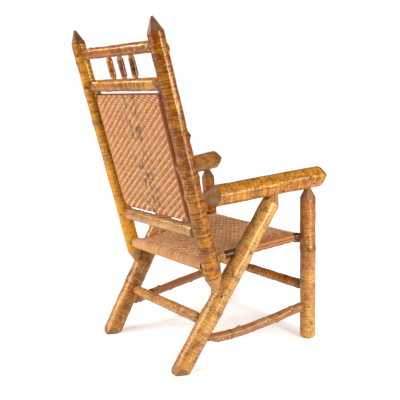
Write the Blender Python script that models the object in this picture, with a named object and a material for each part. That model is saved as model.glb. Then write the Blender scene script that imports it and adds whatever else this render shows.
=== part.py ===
"""Rustic birch armchair: a pegged log frame with a splint-woven seat and back.

Metres, +Z up. The chair faces -Y and stands on z = 0; the sitter's right is -X.
Each log runs between points on the axes of the logs that hold it, so moving one place
carries its neighbours along, and each mortise is cut by the log that sits in it.
"""

import math
from dataclasses import dataclass

import bmesh
import bpy
from mathutils import Quaternion, Vector
from mathutils.geometry import intersect_line_line

# Places of the frame: a spread is a half width, and both sides share it
CHAIR_HEIGHT = 1.100
POST_TIP_SPREAD = 0.232
POST_TIP_BACK = 0.343
POST_FOOT_SPREAD = 0.236
POST_FOOT_BACK = 0.1075
POST_FOOT_HEIGHT = 0.2155
ARM_REAR_HEIGHT = 0.561
ARM_TIP_SPREAD = 0.288
ARM_TIP_FORWARD = 0.354
ARM_TIP_HEIGHT = 0.594
LEFT_ARM_TIP_RISE = 0.016
REAR_LEG_FROM_ARM_TIP = 0.209
FRONT_LEG_FROM_ARM_TIP = 0.086
FRONT_FOOT_SPREAD = 0.283
FRONT_FOOT_FORWARD = 0.282
LEFT_FRONT_FOOT_STEP = 0.042

# Heights of the cross pieces, on the axes of the logs that hold them; the top two hang from the tips
CREST_BELOW_TIP = 0.080
UPPER_RAIL_BELOW_TIP = 0.186
LOWER_RAIL_HEIGHT = 0.450
REAR_SEAT_RAIL_HEIGHT = 0.334
FRONT_SEAT_RAIL_HEIGHT = 0.362
REAR_STRETCHER_HEIGHT = 0.150
FRONT_STRETCHER_HEIGHT = 0.192
FRONT_STRETCHER_LEFT_DROP = 0.011
SIDE_STRETCHER_REAR_HEIGHT = 0.096
SIDE_STRETCHER_FRONT_HEIGHT = 0.126
RIGHT_STRETCHER_SAG = 0.016
SAG_PLACE = 0.33

# The side seat rails stand in from the post and leg axes, and clear the end rails' tenons by a web
SEAT_RAIL_INSET = 0.015
SEAT_TENON_WEB = 0.005

# Log diameters
POST_FOOT_DIAMETER = 0.058
POST_TOP_DIAMETER = 0.051
REAR_LEG_DIAMETER = 0.065
FRONT_LEG_DIAMETER = 0.058
ARM_REAR_DIAMETER = 0.070
ARM_FRONT_DIAMETER = 0.075
CREST_RAIL_DIAMETER = 0.036
UPPER_RAIL_DIAMETER = 0.040
LOWER_RAIL_DIAMETER = 0.044
REAR_SEAT_RAIL_DIAMETER = 0.036
FRONT_SEAT_RAIL_DIAMETER = 0.031
SIDE_SEAT_RAIL_DIAMETER = 0.030
REAR_STRETCHER_DIAMETER = 0.036
FRONT_STRETCHER_DIAMETER = 0.036
SIDE_STRETCHER_DIAMETER = 0.033
SPINDLE_DIAMETER = 0.020
STILE_DIAMETER = 0.020

# Whittled ends that stand free
POST_TIP_DIAMETER = 0.007
POST_TIP_TAPER = 0.043
ARM_TIP_DIAMETER = 0.022
ARM_TIP_TAPER = 0.034
REAR_FOOT_CHAMFER = 0.008
REAR_FOOT_TAPER = 0.016
FRONT_FOOT_CHAMFER = 0.006
FRONT_FOOT_TAPER = 0.010

# Tenons: diameter, depth in the log that holds them, and the whittled taper behind them
POST_TENON_DIAMETER = 0.024
POST_TENON_DEPTH = 0.026
POST_FOOT_TAPER = 0.046
ARM_TENON_DIAMETER = 0.028
ARM_TENON_DEPTH = 0.028
ARM_REAR_TAPER = 0.044
REAR_LEG_TENON_DIAMETER = 0.030
FRONT_LEG_TENON_DIAMETER = 0.024
LEG_TENON_DEPTH = 0.028
LEG_TOP_TAPER = 0.030
BACK_TENON_DIAMETER = 0.024
BACK_TENON_DEPTH = 0.022
BACK_RAIL_TAPER = 0.012
SEAT_TENON_DIAMETER = 0.018
SEAT_TENON_DEPTH = 0.014
SEAT_RAIL_TAPER = 0.014
STRETCHER_TENON_DIAMETER = 0.022
STRETCHER_TENON_DEPTH = 0.020
STRETCHER_TAPER = 0.012
SPINDLE_TENON_DIAMETER = 0.013
STICK_TENON_DEPTH = 0.009
SPINDLE_TAPER = 0.009
STILE_TENON_DIAMETER = 0.014
STILE_TAPER = 0.006

# Sticks of the back
SPINDLE_PITCH = 0.066
SPINDLE_SHIFT = -0.009
STILE_SPREAD = 0.185

# Woven splint
SPLINT_WRAP = 0.004
BACK_TOP_SLIT = 0.0075
BACK_BOTTOM_SLIT = 0.010
SEAT_BARE_FRONT_SIDE = 0.062
SEAT_BARE_FRONT_END = 0.040
SEAT_BARE_REAR_SIDE = 0.032
SEAT_BARE_REAR_END = 0.016
WEAVE_GAP = 0.003

# Nails
NAIL_DIAMETER = 0.003
NAIL_POINT = 0.004
NAIL_POINT_DIAMETER = 0.001
NAIL_HEAD_DIAMETER = 0.0066
NAIL_CROWN_DIAMETER = 0.0053
NAIL_HEAD_THICKNESS = 0.0014
NAIL_SET = 0.0008
NAIL_RECESS_RUNOUT = 0.006
NAIL_FROM_TENON_END = 0.007
NAIL_LAP_DEPTH = 0.0075

# Fits
FIT_CLEARANCE = 0.0003
SHOULDER_REVEAL = 0.0015

# Facets
LOG_SIDES = 12
RAIL_SIDES = 10
STICK_SIDES = 8
NAIL_SIDES = 6
SAG_RINGS = 8
SEAT_CELLS = 6
ROLL_STEPS = 6
SMOOTH_ANGLE = math.radians(40)

# Finishes: colour (linear), roughness and metallic value
GOLDEN_BARK = ((0.40, 0.16, 0.035), 0.35, 0.0)
TAN_BARK = ((0.50, 0.25, 0.07), 0.38, 0.0)
DARK_BARK = ((0.25, 0.10, 0.035), 0.42, 0.0)
PEELED_WOOD = ((0.43, 0.26, 0.13), 0.50, 0.0)
BACK_SPLINT = ((0.62, 0.33, 0.16), 0.60, 0.0)
SEAT_SPLINT = ((0.38, 0.19, 0.10), 0.60, 0.0)
NAIL_IRON = ((0.06, 0.05, 0.045), 0.55, 1.0)

SIDE_SIGN = {"right": -1, "left": 1}
LOGS = {}


@dataclass
class Tenon:
    """A round tenon in a host log, with the taper that leads to it."""

    host: str
    diameter: float
    depth: float
    taper: float
    nailed: bool = True


@dataclass
class Tip:
    """A free end, whittled down to a small face; a foot's face lies level on the floor."""

    diameter: float
    taper: float
    level: bool = False


@dataclass
class Log:
    """A round log along a straight axis, with a cut at each end and perhaps a downward sag."""

    name: str
    start: Vector
    end: Vector
    start_diameter: float
    end_diameter: float
    start_cut: object
    end_cut: object
    finish: tuple
    sides: int = RAIL_SIDES
    sag: float = 0.0

    def __post_init__(self):
        self.length = (self.end - self.start).length
        self.direction = (self.end - self.start).normalized()
        self.turn = self.direction.to_track_quat("Z", "Y")
        LOGS[self.name] = self

    def radius_at(self, along):
        """Body radius at a distance along the axis, before any whittling."""
        share = along / self.length
        return (self.start_diameter * (1 - share) + self.end_diameter * share) / 2

    def at_height(self, height):
        """Point of the axis at a height above the floor."""
        share = (height - self.start.z) / (self.end.z - self.start.z)
        return self.start.lerp(self.end, share)

    def before_end(self, distance):
        """Point of the axis at a distance back from its end."""
        return self.end - self.direction * distance

    def sag_at(self, along):
        """Drop below the straight axis, deepest at one place along it."""
        share = min(max(along / self.length, 0), 1)
        if share < SAG_PLACE:
            return self.sag * math.sin(math.pi / 2 * share / SAG_PLACE)
        return self.sag * math.sin(math.pi / 2 * (1 - share) / (1 - SAG_PLACE))


def exit_distance(host, point, direction):
    """How far a ray from a point inside a log runs before it leaves the log's side."""
    along = (point - host.start).dot(host.direction)
    offset = point - host.start - host.direction * along
    slope = direction - host.direction * direction.dot(host.direction)
    square = slope.length_squared
    half = offset.dot(slope)
    rest = offset.length_squared - host.radius_at(along) ** 2
    return (math.sqrt(half * half - square * rest) - half) / square


def end_frame(log, at_start):
    """The cut, the axis point and the inward direction of one end of a log."""
    if at_start:
        return log.start_cut, log.start, log.direction
    return log.end_cut, log.end, -log.direction


def end_rings(log, at_start):
    """Rings of one end as (distance from that end's axis point, radius, level)."""
    cut, point, inward = end_frame(log, at_start)
    if isinstance(cut, Tenon):
        mouth = exit_distance(LOGS[cut.host], point, inward)
        shoulder = mouth + SHOULDER_REVEAL
        stops = [(mouth - cut.depth, cut.diameter / 2), (shoulder, cut.diameter / 2)]
        full = shoulder + cut.taper
        level = False
    else:
        stops = [(0, cut.diameter / 2)]
        full = cut.taper
        level = cut.level
    full_radius = log.radius_at(full if at_start else log.length - full)
    return [(along, radius, level) for along, radius in stops + [(full, full_radius)]]


def log_rings(log):
    """All rings of a log from start to end."""
    first = end_rings(log, True)
    last = []
    for along, radius, level in reversed(end_rings(log, False)):
        last.append((log.length - along, radius, level))
    body = []
    if log.sag:
        low, high = first[-1][0], last[0][0]
        for step in range(1, SAG_RINGS):
            along = low + (high - low) * step / SAG_RINGS
            body.append((along, log.radius_at(along), False))
    return first + body + last


def strip_cap(bm, loop):
    """Close a long thin ring across its width; its first point lies at one of its two tips."""
    for step in range(len(loop) // 2):
        corners = (loop[step], loop[step + 1], loop[-step - 1], loop[-step])
        bm.faces.new(list(dict.fromkeys(corners)))


def skin(rings, thin=False):
    """A closed mesh over rings of points, capped at each end."""
    bm = bmesh.new()
    loops = [[bm.verts.new(point) for point in ring] for ring in rings]
    for low, high in zip(loops, loops[1:]):
        for index in range(len(low)):
            after = (index + 1) % len(low)
            bm.faces.new((low[index], low[after], high[after], high[index]))
    for loop in (loops[0], loops[-1]):
        if thin:
            strip_cap(bm, loop)
        else:
            bm.faces.new(loop)
    return bm


def finished_mesh(bm, name):
    """Turn a bmesh into a smooth-shaded mesh that keeps its cut edges sharp."""
    bmesh.ops.recalc_face_normals(bm, faces=bm.faces)
    mesh = bpy.data.meshes.new(name)
    bm.to_mesh(mesh)
    bm.free()
    mesh.shade_smooth()
    mesh.set_sharp_from_angle(angle=SMOOTH_ANGLE)
    return mesh


def circle(radius, sides):
    """Points of a ring about the local Z axis."""
    turns = [2 * math.pi * index / sides for index in range(sides)]
    return [(radius * math.cos(turn), radius * math.sin(turn)) for turn in turns]


def log_mesh(log, name, grow=0.0):
    """Skin a log, or the room it needs when it is grown on all sides."""
    up = log.turn.inverted() @ Vector((0, 0, 1))
    specs = log_rings(log)
    rings = []
    for index, (along, radius, level) in enumerate(specs):
        if index == 0:
            along -= grow
        if index == len(specs) - 1:
            along += grow
        ring = []
        for x, y in circle(radius + grow, log.sides):
            slide = -(up.x * x + up.y * y) / up.z if level else 0
            ring.append(Vector((x, y, along + slide)) - up * log.sag_at(along))
        rings.append(ring)
    return finished_mesh(skin(rings), name)


def place(name, mesh, location, turn):
    """Add an object under the chair's empty."""
    obj = bpy.data.objects.new(name, mesh)
    bpy.context.scene.collection.objects.link(obj)
    obj.parent = CHAIR
    obj.location = location
    obj.rotation_mode = "QUATERNION"
    obj.rotation_quaternion = turn
    return obj


def give_finish(obj, finish):
    """Give an object a material of its own."""
    colour, roughness, metallic = finish
    material = bpy.data.materials.new(obj.name + "_finish")
    material.use_nodes = True
    shader = material.node_tree.nodes["Principled BSDF"]
    shader.inputs["Base Color"].default_value = (*colour, 1)
    shader.inputs["Roughness"].default_value = roughness
    shader.inputs["Metallic"].default_value = metallic
    obj.data.materials.append(material)


def as_cutter(obj):
    """Mark an object as a cutting tool."""
    obj.hide_render = True
    obj.display_type = "WIRE"
    return obj


def log_room(log, gap):
    """Cutter of the room that a log needs."""
    name = f"room_{log.name}_{gap * 1000:.1f}mm"
    return as_cutter(place(name, log_mesh(log, name, gap), log.start, log.turn))


def carve(obj, cutter):
    """Cut one object with another."""
    cut = obj.modifiers.new(cutter.name, "BOOLEAN")
    cut.operation = "DIFFERENCE"
    cut.object = cutter


def mirrored(side, spread, depth, height):
    """A point on one side of the chair."""
    return Vector((SIDE_SIGN[side] * spread, depth, height))


def lay_out_side(side):
    """Axes of the post, arm and legs of one side."""
    rise = LEFT_ARM_TIP_RISE if side == "left" else 0
    foot_step = LEFT_FRONT_FOOT_STEP if side == "left" else 0
    post = Log(f"{side}_back_post",
               mirrored(side, POST_FOOT_SPREAD, POST_FOOT_BACK, POST_FOOT_HEIGHT),
               mirrored(side, POST_TIP_SPREAD, POST_TIP_BACK, CHAIR_HEIGHT),
               POST_FOOT_DIAMETER, POST_TOP_DIAMETER,
               Tenon(f"{side}_rear_leg", POST_TENON_DIAMETER, POST_TENON_DEPTH, POST_FOOT_TAPER),
               Tip(POST_TIP_DIAMETER, POST_TIP_TAPER), GOLDEN_BARK, LOG_SIDES)
    arm = Log(f"{side}_arm",
              post.at_height(ARM_REAR_HEIGHT),
              mirrored(side, ARM_TIP_SPREAD, -ARM_TIP_FORWARD, ARM_TIP_HEIGHT + rise),
              ARM_REAR_DIAMETER, ARM_FRONT_DIAMETER,
              Tenon(post.name, ARM_TENON_DIAMETER, ARM_TENON_DEPTH, ARM_REAR_TAPER),
              Tip(ARM_TIP_DIAMETER, ARM_TIP_TAPER), GOLDEN_BARK, LOG_SIDES)
    rear_top = arm.before_end(REAR_LEG_FROM_ARM_TIP)
    below = rear_top.z / (rear_top.z - post.start.z)
    Log(f"{side}_rear_leg", rear_top.lerp(post.start, below), rear_top,
        REAR_LEG_DIAMETER, REAR_LEG_DIAMETER,
        Tip(REAR_LEG_DIAMETER - 2 * REAR_FOOT_CHAMFER, REAR_FOOT_TAPER, level=True),
        Tenon(arm.name, REAR_LEG_TENON_DIAMETER, LEG_TENON_DEPTH, LEG_TOP_TAPER), TAN_BARK, LOG_SIDES)
    Log(f"{side}_front_leg",
        mirrored(side, FRONT_FOOT_SPREAD, -FRONT_FOOT_FORWARD - foot_step, 0),
        arm.before_end(FRONT_LEG_FROM_ARM_TIP),
        FRONT_LEG_DIAMETER, FRONT_LEG_DIAMETER,
        Tip(FRONT_LEG_DIAMETER - 2 * FRONT_FOOT_CHAMFER, FRONT_FOOT_TAPER, level=True),
        Tenon(arm.name, FRONT_LEG_TENON_DIAMETER, LEG_TENON_DEPTH, LEG_TOP_TAPER), TAN_BARK, LOG_SIDES)


def lay_cross_piece(name, upright, height, diameter, tenon, finish, left_drop=0.0):
    """A rail or stretcher from the left upright to the right one, perhaps lower on the left."""
    hosts = [f"{side}_{upright}" for side in ("left", "right")]
    ends = [LOGS[host].at_height(level) for host, level in zip(hosts, (height - left_drop, height))]
    cuts = [Tenon(host, *tenon) for host in hosts]
    return Log(name, ends[0], ends[1], diameter, diameter, cuts[0], cuts[1], finish)


def lay_out_cross_pieces():
    """Rails and stretchers that run from side to side."""
    back = (BACK_TENON_DIAMETER, BACK_TENON_DEPTH, BACK_RAIL_TAPER)
    seat = (SEAT_TENON_DIAMETER, SEAT_TENON_DEPTH, SEAT_RAIL_TAPER)
    low = (STRETCHER_TENON_DIAMETER, STRETCHER_TENON_DEPTH, STRETCHER_TAPER)
    lay_cross_piece("crest_rail", "back_post", CHAIR_HEIGHT - CREST_BELOW_TIP, CREST_RAIL_DIAMETER, back,
                    GOLDEN_BARK)
    lay_cross_piece("upper_back_rail", "back_post", CHAIR_HEIGHT - UPPER_RAIL_BELOW_TIP,
                    UPPER_RAIL_DIAMETER, back, GOLDEN_BARK)
    lay_cross_piece("lower_back_rail", "back_post", LOWER_RAIL_HEIGHT, LOWER_RAIL_DIAMETER, back, PEELED_WOOD)
    lay_cross_piece("rear_seat_rail", "back_post", REAR_SEAT_RAIL_HEIGHT, REAR_SEAT_RAIL_DIAMETER, seat,
                    DARK_BARK)
    lay_cross_piece("front_seat_rail", "front_leg", FRONT_SEAT_RAIL_HEIGHT, FRONT_SEAT_RAIL_DIAMETER, seat,
                    DARK_BARK)
    lay_cross_piece("rear_stretcher", "rear_leg", REAR_STRETCHER_HEIGHT, REAR_STRETCHER_DIAMETER, low,
                    TAN_BARK)
    lay_cross_piece("front_stretcher", "front_leg", FRONT_STRETCHER_HEIGHT, FRONT_STRETCHER_DIAMETER, low,
                    TAN_BARK, FRONT_STRETCHER_LEFT_DROP)


def lay_side_pieces(side):
    """Seat rail and stretcher of one side; the right rail passes over the rear rail, the left one under."""
    post, rear, front = (LOGS[f"{side}_{upright}"] for upright in ("back_post", "rear_leg", "front_leg"))
    step = SEAT_TENON_DIAMETER + SEAT_TENON_WEB
    rear_step = step if side == "right" else -step
    inset = mirrored(side, -SEAT_RAIL_INSET, 0, 0)
    seat = (SEAT_TENON_DIAMETER, SEAT_TENON_DEPTH, SEAT_RAIL_TAPER)
    Log(f"{side}_seat_rail",
        post.at_height(REAR_SEAT_RAIL_HEIGHT + rear_step) + inset,
        front.at_height(FRONT_SEAT_RAIL_HEIGHT + step) + inset,
        SIDE_SEAT_RAIL_DIAMETER, SIDE_SEAT_RAIL_DIAMETER,
        Tenon(post.name, *seat), Tenon(front.name, *seat), DARK_BARK)
    low = (STRETCHER_TENON_DIAMETER, STRETCHER_TENON_DEPTH, STRETCHER_TAPER)
    Log(f"{side}_stretcher",
        rear.at_height(SIDE_STRETCHER_REAR_HEIGHT), front.at_height(SIDE_STRETCHER_FRONT_HEIGHT),
        SIDE_STRETCHER_DIAMETER, SIDE_STRETCHER_DIAMETER,
        Tenon(rear.name, *low), Tenon(front.name, *low), TAN_BARK,
        sag=RIGHT_STRETCHER_SAG if side == "right" else 0)


def lay_stick(name, low_rail, high_rail, across, diameter, tenon, finish):
    """An upright stick between two back rails."""
    ends = []
    for host in (low_rail, high_rail):
        middle = LOGS[host].start.lerp(LOGS[host].end, 0.5)
        ends.append(Vector((across, middle.y, middle.z)))
    cuts = [Tenon(host, *tenon, nailed=False) for host in (low_rail, high_rail)]
    Log(name, ends[0], ends[1], diameter, diameter, cuts[0], cuts[1], finish, STICK_SIDES)


def lay_out_sticks():
    """Crest spindles and the stiles inside the woven back."""
    spindle = (SPINDLE_TENON_DIAMETER, STICK_TENON_DEPTH, SPINDLE_TAPER)
    stile = (STILE_TENON_DIAMETER, STICK_TENON_DEPTH, STILE_TAPER)
    for name, steps, finish in (("left", 1, TAN_BARK), ("middle", 0, DARK_BARK), ("right", -1, DARK_BARK)):
        lay_stick(f"{name}_crest_spindle", "upper_back_rail", "crest_rail",
                  SPINDLE_SHIFT + SPINDLE_PITCH * steps, SPINDLE_DIAMETER, spindle, finish)
    for side, sign in SIDE_SIGN.items():
        lay_stick(f"{side}_back_stile", "lower_back_rail", "upper_back_rail",
                  STILE_SPREAD * sign, STILE_DIAMETER, stile, DARK_BARK)


def build_logs():
    """Make every log, then cut each host by the log that sits in it."""
    objects, rooms = {}, {}
    for log in LOGS.values():
        objects[log.name] = place(log.name, log_mesh(log, log.name), log.start, log.turn)
        give_finish(objects[log.name], log.finish)
        rooms[log.name] = log_room(log, FIT_CLEARANCE)
    for log in LOGS.values():
        for cut in (log.start_cut, log.end_cut):
            if isinstance(cut, Tenon):
                carve(objects[cut.host], rooms[log.name])
    for side in SIDE_SIGN:
        carve(objects[f"{side}_rear_leg"], rooms[f"{side}_seat_rail"])
    return objects, rooms


def nail_mesh(name, length):
    """A nail along local Z with its head's underside at z = 0."""
    shank, head = NAIL_DIAMETER / 2, NAIL_HEAD_DIAMETER / 2
    profile = [(-length, NAIL_POINT_DIAMETER / 2), (NAIL_POINT - length, shank), (0, shank), (0, head),
               (NAIL_HEAD_THICKNESS, NAIL_CROWN_DIAMETER / 2)]
    rings = [[(x, y, along) for x, y in circle(radius, NAIL_SIDES)] for along, radius in profile]
    return finished_mesh(skin(rings), name)


def nail_room(name, length):
    """The hole that a nail needs, with a recess for its head that runs out past the log's face."""
    shank, head = (size / 2 + FIT_CLEARANCE for size in (NAIL_DIAMETER, NAIL_HEAD_DIAMETER))
    profile = [(-length - FIT_CLEARANCE, shank), (-FIT_CLEARANCE, shank), (-FIT_CLEARANCE, head),
               (NAIL_RECESS_RUNOUT, head)]
    rings = [[(x, y, along) for x, y in circle(radius, NAIL_SIDES)] for along, radius in profile]
    return finished_mesh(skin(rings), name)


def drive_nail(name, host, middle, log, half_depth, objects):
    """Drive a nail from the host's outer face through the middle of a tenon or lap."""
    across = host.direction.cross(log.direction).normalized()
    if across.dot(Vector((middle.x, middle.y, 0))) < 0:
        across.negate()
    reach = exit_distance(host, middle, across)
    seat = middle + across * (reach - NAIL_SET)
    turn = across.to_track_quat("Z", "Y")
    length = reach - NAIL_SET + half_depth
    nail = place(name, nail_mesh(name, length), seat, turn)
    give_finish(nail, NAIL_IRON)
    hole = as_cutter(place(f"hole_{name}", nail_room(f"hole_{name}", length), seat, turn))
    carve(objects[host.name], hole)
    carve(objects[log.name], hole)


def drive_nails(objects):
    """One nail for each main tenon and one for each lap of a seat rail in a rear leg."""
    for log in list(LOGS.values()):
        for at_start in (True, False):
            cut, point, inward = end_frame(log, at_start)
            if isinstance(cut, Tenon) and cut.nailed:
                host = LOGS[cut.host]
                mouth = exit_distance(host, point, inward)
                middle = point + inward * (mouth - cut.depth + NAIL_FROM_TENON_END)
                drive_nail(f"nail_{log.name}_{cut.host}", host, middle, log, cut.diameter / 2, objects)
    for side in SIDE_SIGN:
        rail, leg = LOGS[f"{side}_seat_rail"], LOGS[f"{side}_rear_leg"]
        middle, _ = intersect_line_line(rail.start, rail.end, leg.start, leg.end)
        drive_nail(f"nail_{side}_seat_rail_lap", leg, middle, rail, NAIL_LAP_DEPTH, objects)


def roll_radius(rail):
    """Outer radius of splint wrapped round a rail or stile."""
    return rail.start_diameter / 2 + FIT_CLEARANCE + SPLINT_WRAP


def build_woven_back(rooms):
    """The woven back: a flat sleeve round the two stiles, closed to a plain solid."""
    upper, lower = LOGS["upper_back_rail"], LOGS["lower_back_rail"]
    foot, head = (rail.start.lerp(rail.end, 0.5) for rail in (lower, upper))
    radius = roll_radius(LOGS["left_back_stile"])
    outline = []
    for sign in (1, -1):
        for step in range(ROLL_STEPS + 1):
            turn = math.pi * step / ROLL_STEPS - math.pi / 2
            across = STILE_SPREAD + radius * math.cos(turn)
            outline.append((sign * across, sign * radius * math.sin(turn)))
    bottom = LOWER_RAIL_DIAMETER / 2 + BACK_BOTTOM_SLIT
    top = (head - foot).length - UPPER_RAIL_DIAMETER / 2 - BACK_TOP_SLIT
    rings = [[(x, y, along) for x, y in outline] for along in (bottom, top)]
    mesh = finished_mesh(skin(rings), "woven_back")
    panel = place("woven_back", mesh, foot, LOGS["left_back_stile"].turn)
    give_finish(panel, BACK_SPLINT)
    for side in SIDE_SIGN:
        carve(panel, rooms[f"{side}_back_stile"])


def plan_crossing(first, second):
    """Where two rail axes cross when seen from above."""
    flat = [Vector((p.x, p.y, 0)) for p in (first.start, first.end, second.start, second.end)]
    return intersect_line_line(*flat)[0]


def rail_height(rail, point):
    """Height of a rail's axis at the place of the axis nearest in plan."""
    run = rail.end - rail.start
    flat = Vector((run.x, run.y, 0))
    share = (point - rail.start).dot(flat) / flat.length_squared
    return rail.start.z + run.z * share


class SeatSurface:
    """Form of the woven seat: u runs from the right rail to the left one, v from the front to the rear."""

    def __init__(self):
        self.side = {-1: LOGS["right_seat_rail"], 1: LOGS["left_seat_rail"]}
        self.end = {-1: LOGS["front_seat_rail"], 1: LOGS["rear_seat_rail"]}
        self.corner = {(u, v): plan_crossing(self.side[u], self.end[v]) for u in (-1, 1) for v in (-1, 1)}

    def plan(self, u, v):
        """Place in plan, by the four corners."""
        front = self.corner[-1, -1].lerp(self.corner[1, -1], (u + 1) / 2)
        rear = self.corner[-1, 1].lerp(self.corner[1, 1], (u + 1) / 2)
        return front.lerp(rear, (v + 1) / 2)

    def blend(self, u, v, value):
        """Blend a value of the four rails so that each rail holds its own edge."""
        point = self.plan(u, v)
        sides = value(self.side[-1], point) * (1 - u) / 2 + value(self.side[1], point) * (1 + u) / 2
        ends = value(self.end[-1], point) * (1 - v) / 2 + value(self.end[1], point) * (1 + v) / 2
        near_side, near_end = 1 - abs(u), 1 - abs(v)
        total = near_side + near_end
        if total == 0:
            return ends
        return (sides * near_end + ends * near_side) / total

    def middle(self, u, v):
        """Point on the middle surface."""
        point = self.plan(u, v)
        return Vector((point.x, point.y, self.blend(u, v, rail_height)))

    def half(self, u, v):
        """Half thickness."""
        return self.blend(u, v, lambda rail, point: roll_radius(rail))

    def outward(self, rail):
        """Level direction square to a rail, away from the seat."""
        square = Vector((rail.direction.y, -rail.direction.x, 0)).normalized()
        away = rail.start.lerp(rail.end, 0.5) - self.plan(0, 0)
        return square if square.dot(away) > 0 else -square

    def section(self, v, turn):
        """Ring of points across the seat at v, turned a part of the way over the end rail there."""
        upper, lower, rolls = [], [], {}
        for step in range(SEAT_CELLS + 1):
            u = 2 * step / SEAT_CELLS - 1
            middle = self.middle(u, v)
            half = self.half(u, v)
            if turn:
                middle += self.outward(self.end[v]) * half * math.sin(turn)
            rise = Vector((0, 0, half * math.cos(turn)))
            upper.append(middle + rise)
            lower.append(middle - rise)
            if u in self.side:
                bulge = self.outward(self.side[u]) * rise.z
                angles = [math.pi * step / ROLL_STEPS for step in range(1, ROLL_STEPS)]
                rolls[u] = [middle + rise * math.cos(angle) + bulge * math.sin(angle) for angle in angles]
        right = rolls[-1][::-1]
        tip = ROLL_STEPS // 2 - 1
        return right[tip:] + upper + rolls[1] + lower[::-1] + right[:tip]

    def rings(self):
        """Rings from front to rear, rounded over both end rails; the corners shear inside their notches."""
        depth = (self.plan(0, 1) - self.plan(0, -1)).length
        low, high = SEAT_BARE_FRONT_SIDE / depth - 1, 1 - SEAT_BARE_REAR_SIDE / depth
        rows = [low + (high - low) * step / SEAT_CELLS for step in range(SEAT_CELLS + 1)]
        turns = [math.pi / 2 * step / ROLL_STEPS for step in range(1, ROLL_STEPS)]
        front = [self.section(-1, turn) for turn in reversed(turns)]
        flat = [self.section(v, 0) for v in (-1, *rows, 1)]
        rear = [self.section(1, turn) for turn in turns]
        return front + flat + rear

    def corner_room(self, u, v, bare_end, bare_side):
        """Cutter that leaves the rail ends bare at one corner."""
        corner = self.corner[u, v]
        reach = 2 * (roll_radius(self.side[u]) + roll_radius(self.end[v]))
        xs = (corner.x - u * bare_end, corner.x + u * reach)
        ys = (corner.y - v * bare_side, corner.y + v * reach)
        outline = [(xs[0], ys[0]), (xs[1], ys[0]), (xs[1], ys[1]), (xs[0], ys[1])]
        level = self.middle(u, v).z
        rings = [[(x, y, height) for x, y in outline] for height in (level - reach, level + reach)]
        name = f"seat_corner_{self.side[u].name}_{self.end[v].name}"
        return as_cutter(place(name, finished_mesh(skin(rings), name), Vector(), Quaternion()))


def build_woven_seat(rooms):
    """The woven seat: a plain solid wrapped round four rails, open at the corners for their bare ends."""
    seat = SeatSurface()
    form = skin(seat.rings(), thin=True)
    bmesh.ops.triangulate(form, faces=form.faces[:])
    panel = place("woven_seat", finished_mesh(form, "woven_seat"), Vector(), Quaternion())
    give_finish(panel, SEAT_SPLINT)
    for u in seat.side:
        carve(panel, seat.corner_room(u, -1, SEAT_BARE_FRONT_END, SEAT_BARE_FRONT_SIDE))
        carve(panel, seat.corner_room(u, 1, SEAT_BARE_REAR_END, SEAT_BARE_REAR_SIDE))
    for rail in (*seat.side.values(), *seat.end.values()):
        carve(panel, rooms[rail.name])
    for side in SIDE_SIGN:
        for upright in ("back_post", "rear_leg", "front_leg"):
            carve(panel, log_room(LOGS[f"{side}_{upright}"], WEAVE_GAP))


for old in list(bpy.data.objects):
    bpy.data.objects.remove(old, do_unlink=True)
CHAIR = bpy.data.objects.new("rustic_birch_armchair", None)
bpy.context.scene.collection.objects.link(CHAIR)

for chair_side in SIDE_SIGN:
    lay_out_side(chair_side)
lay_out_cross_pieces()
for chair_side in SIDE_SIGN:
    lay_side_pieces(chair_side)
lay_out_sticks()
LOG_OBJECTS, LOG_ROOMS = build_logs()
drive_nails(LOG_OBJECTS)
build_woven_back(LOG_ROOMS)
build_woven_seat(LOG_ROOMS)
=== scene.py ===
# %% [markdown]
# # Dressing a rustic birch armchair
# The frame is a set of plain round logs with tenons, two plain solids for the woven mats, and nails.
# This lesson gives every log its bark, knots and knife-cut ends, weaves the seat and the back from real
# splints, and sets up the studio. Each piece takes its place from the frame, so nothing is fitted by eye.

# %% Load the frame
import math
import random
from collections import namedtuple
from dataclasses import dataclass

import bmesh
import bpy
import numpy as np
from mathutils import Color, Matrix, Vector, noise


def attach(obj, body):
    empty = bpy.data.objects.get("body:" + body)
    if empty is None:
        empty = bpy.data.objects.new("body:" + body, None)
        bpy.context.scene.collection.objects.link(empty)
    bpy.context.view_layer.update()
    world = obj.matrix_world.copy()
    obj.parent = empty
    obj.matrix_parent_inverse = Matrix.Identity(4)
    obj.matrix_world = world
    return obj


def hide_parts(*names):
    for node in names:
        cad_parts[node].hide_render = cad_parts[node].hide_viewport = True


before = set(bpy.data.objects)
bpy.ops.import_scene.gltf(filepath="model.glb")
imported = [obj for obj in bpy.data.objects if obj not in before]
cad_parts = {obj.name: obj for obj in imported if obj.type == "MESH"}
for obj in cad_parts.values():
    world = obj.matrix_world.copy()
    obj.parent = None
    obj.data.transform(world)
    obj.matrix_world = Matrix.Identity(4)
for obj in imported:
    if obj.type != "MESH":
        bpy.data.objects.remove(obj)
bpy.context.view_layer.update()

# %% [markdown]
# ## The camera
# The camera stands behind the chair, a little above its middle. Its place and lens come from fitting the
# log axes to the picture. A camera could be aimed with a Track To constraint, but a plain rotation built
# from its forward and side directions keeps the small roll of the picture and needs no helper object.

# %% Place the camera
CAMERA_PLACE = Vector((-1.6711, 1.3243, 0.8862))
CAMERA_FORWARD = Vector((0.7699, -0.6136, -0.1756)).normalized()
CAMERA_SIDE = Vector((-0.6247, -0.7808, -0.0105))
CAMERA_LENS_MM = 53.94
SENSOR_MM = 36.0


def square_to(vector, direction):
    """The part of a vector that is square to a direction, one unit long."""
    return (vector - direction * vector.dot(direction)).normalized()


def new_object(name, data):
    """An object with its data, put into the scene."""
    made = bpy.data.objects.new(name, data)
    bpy.context.scene.collection.objects.link(made)
    return made


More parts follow.
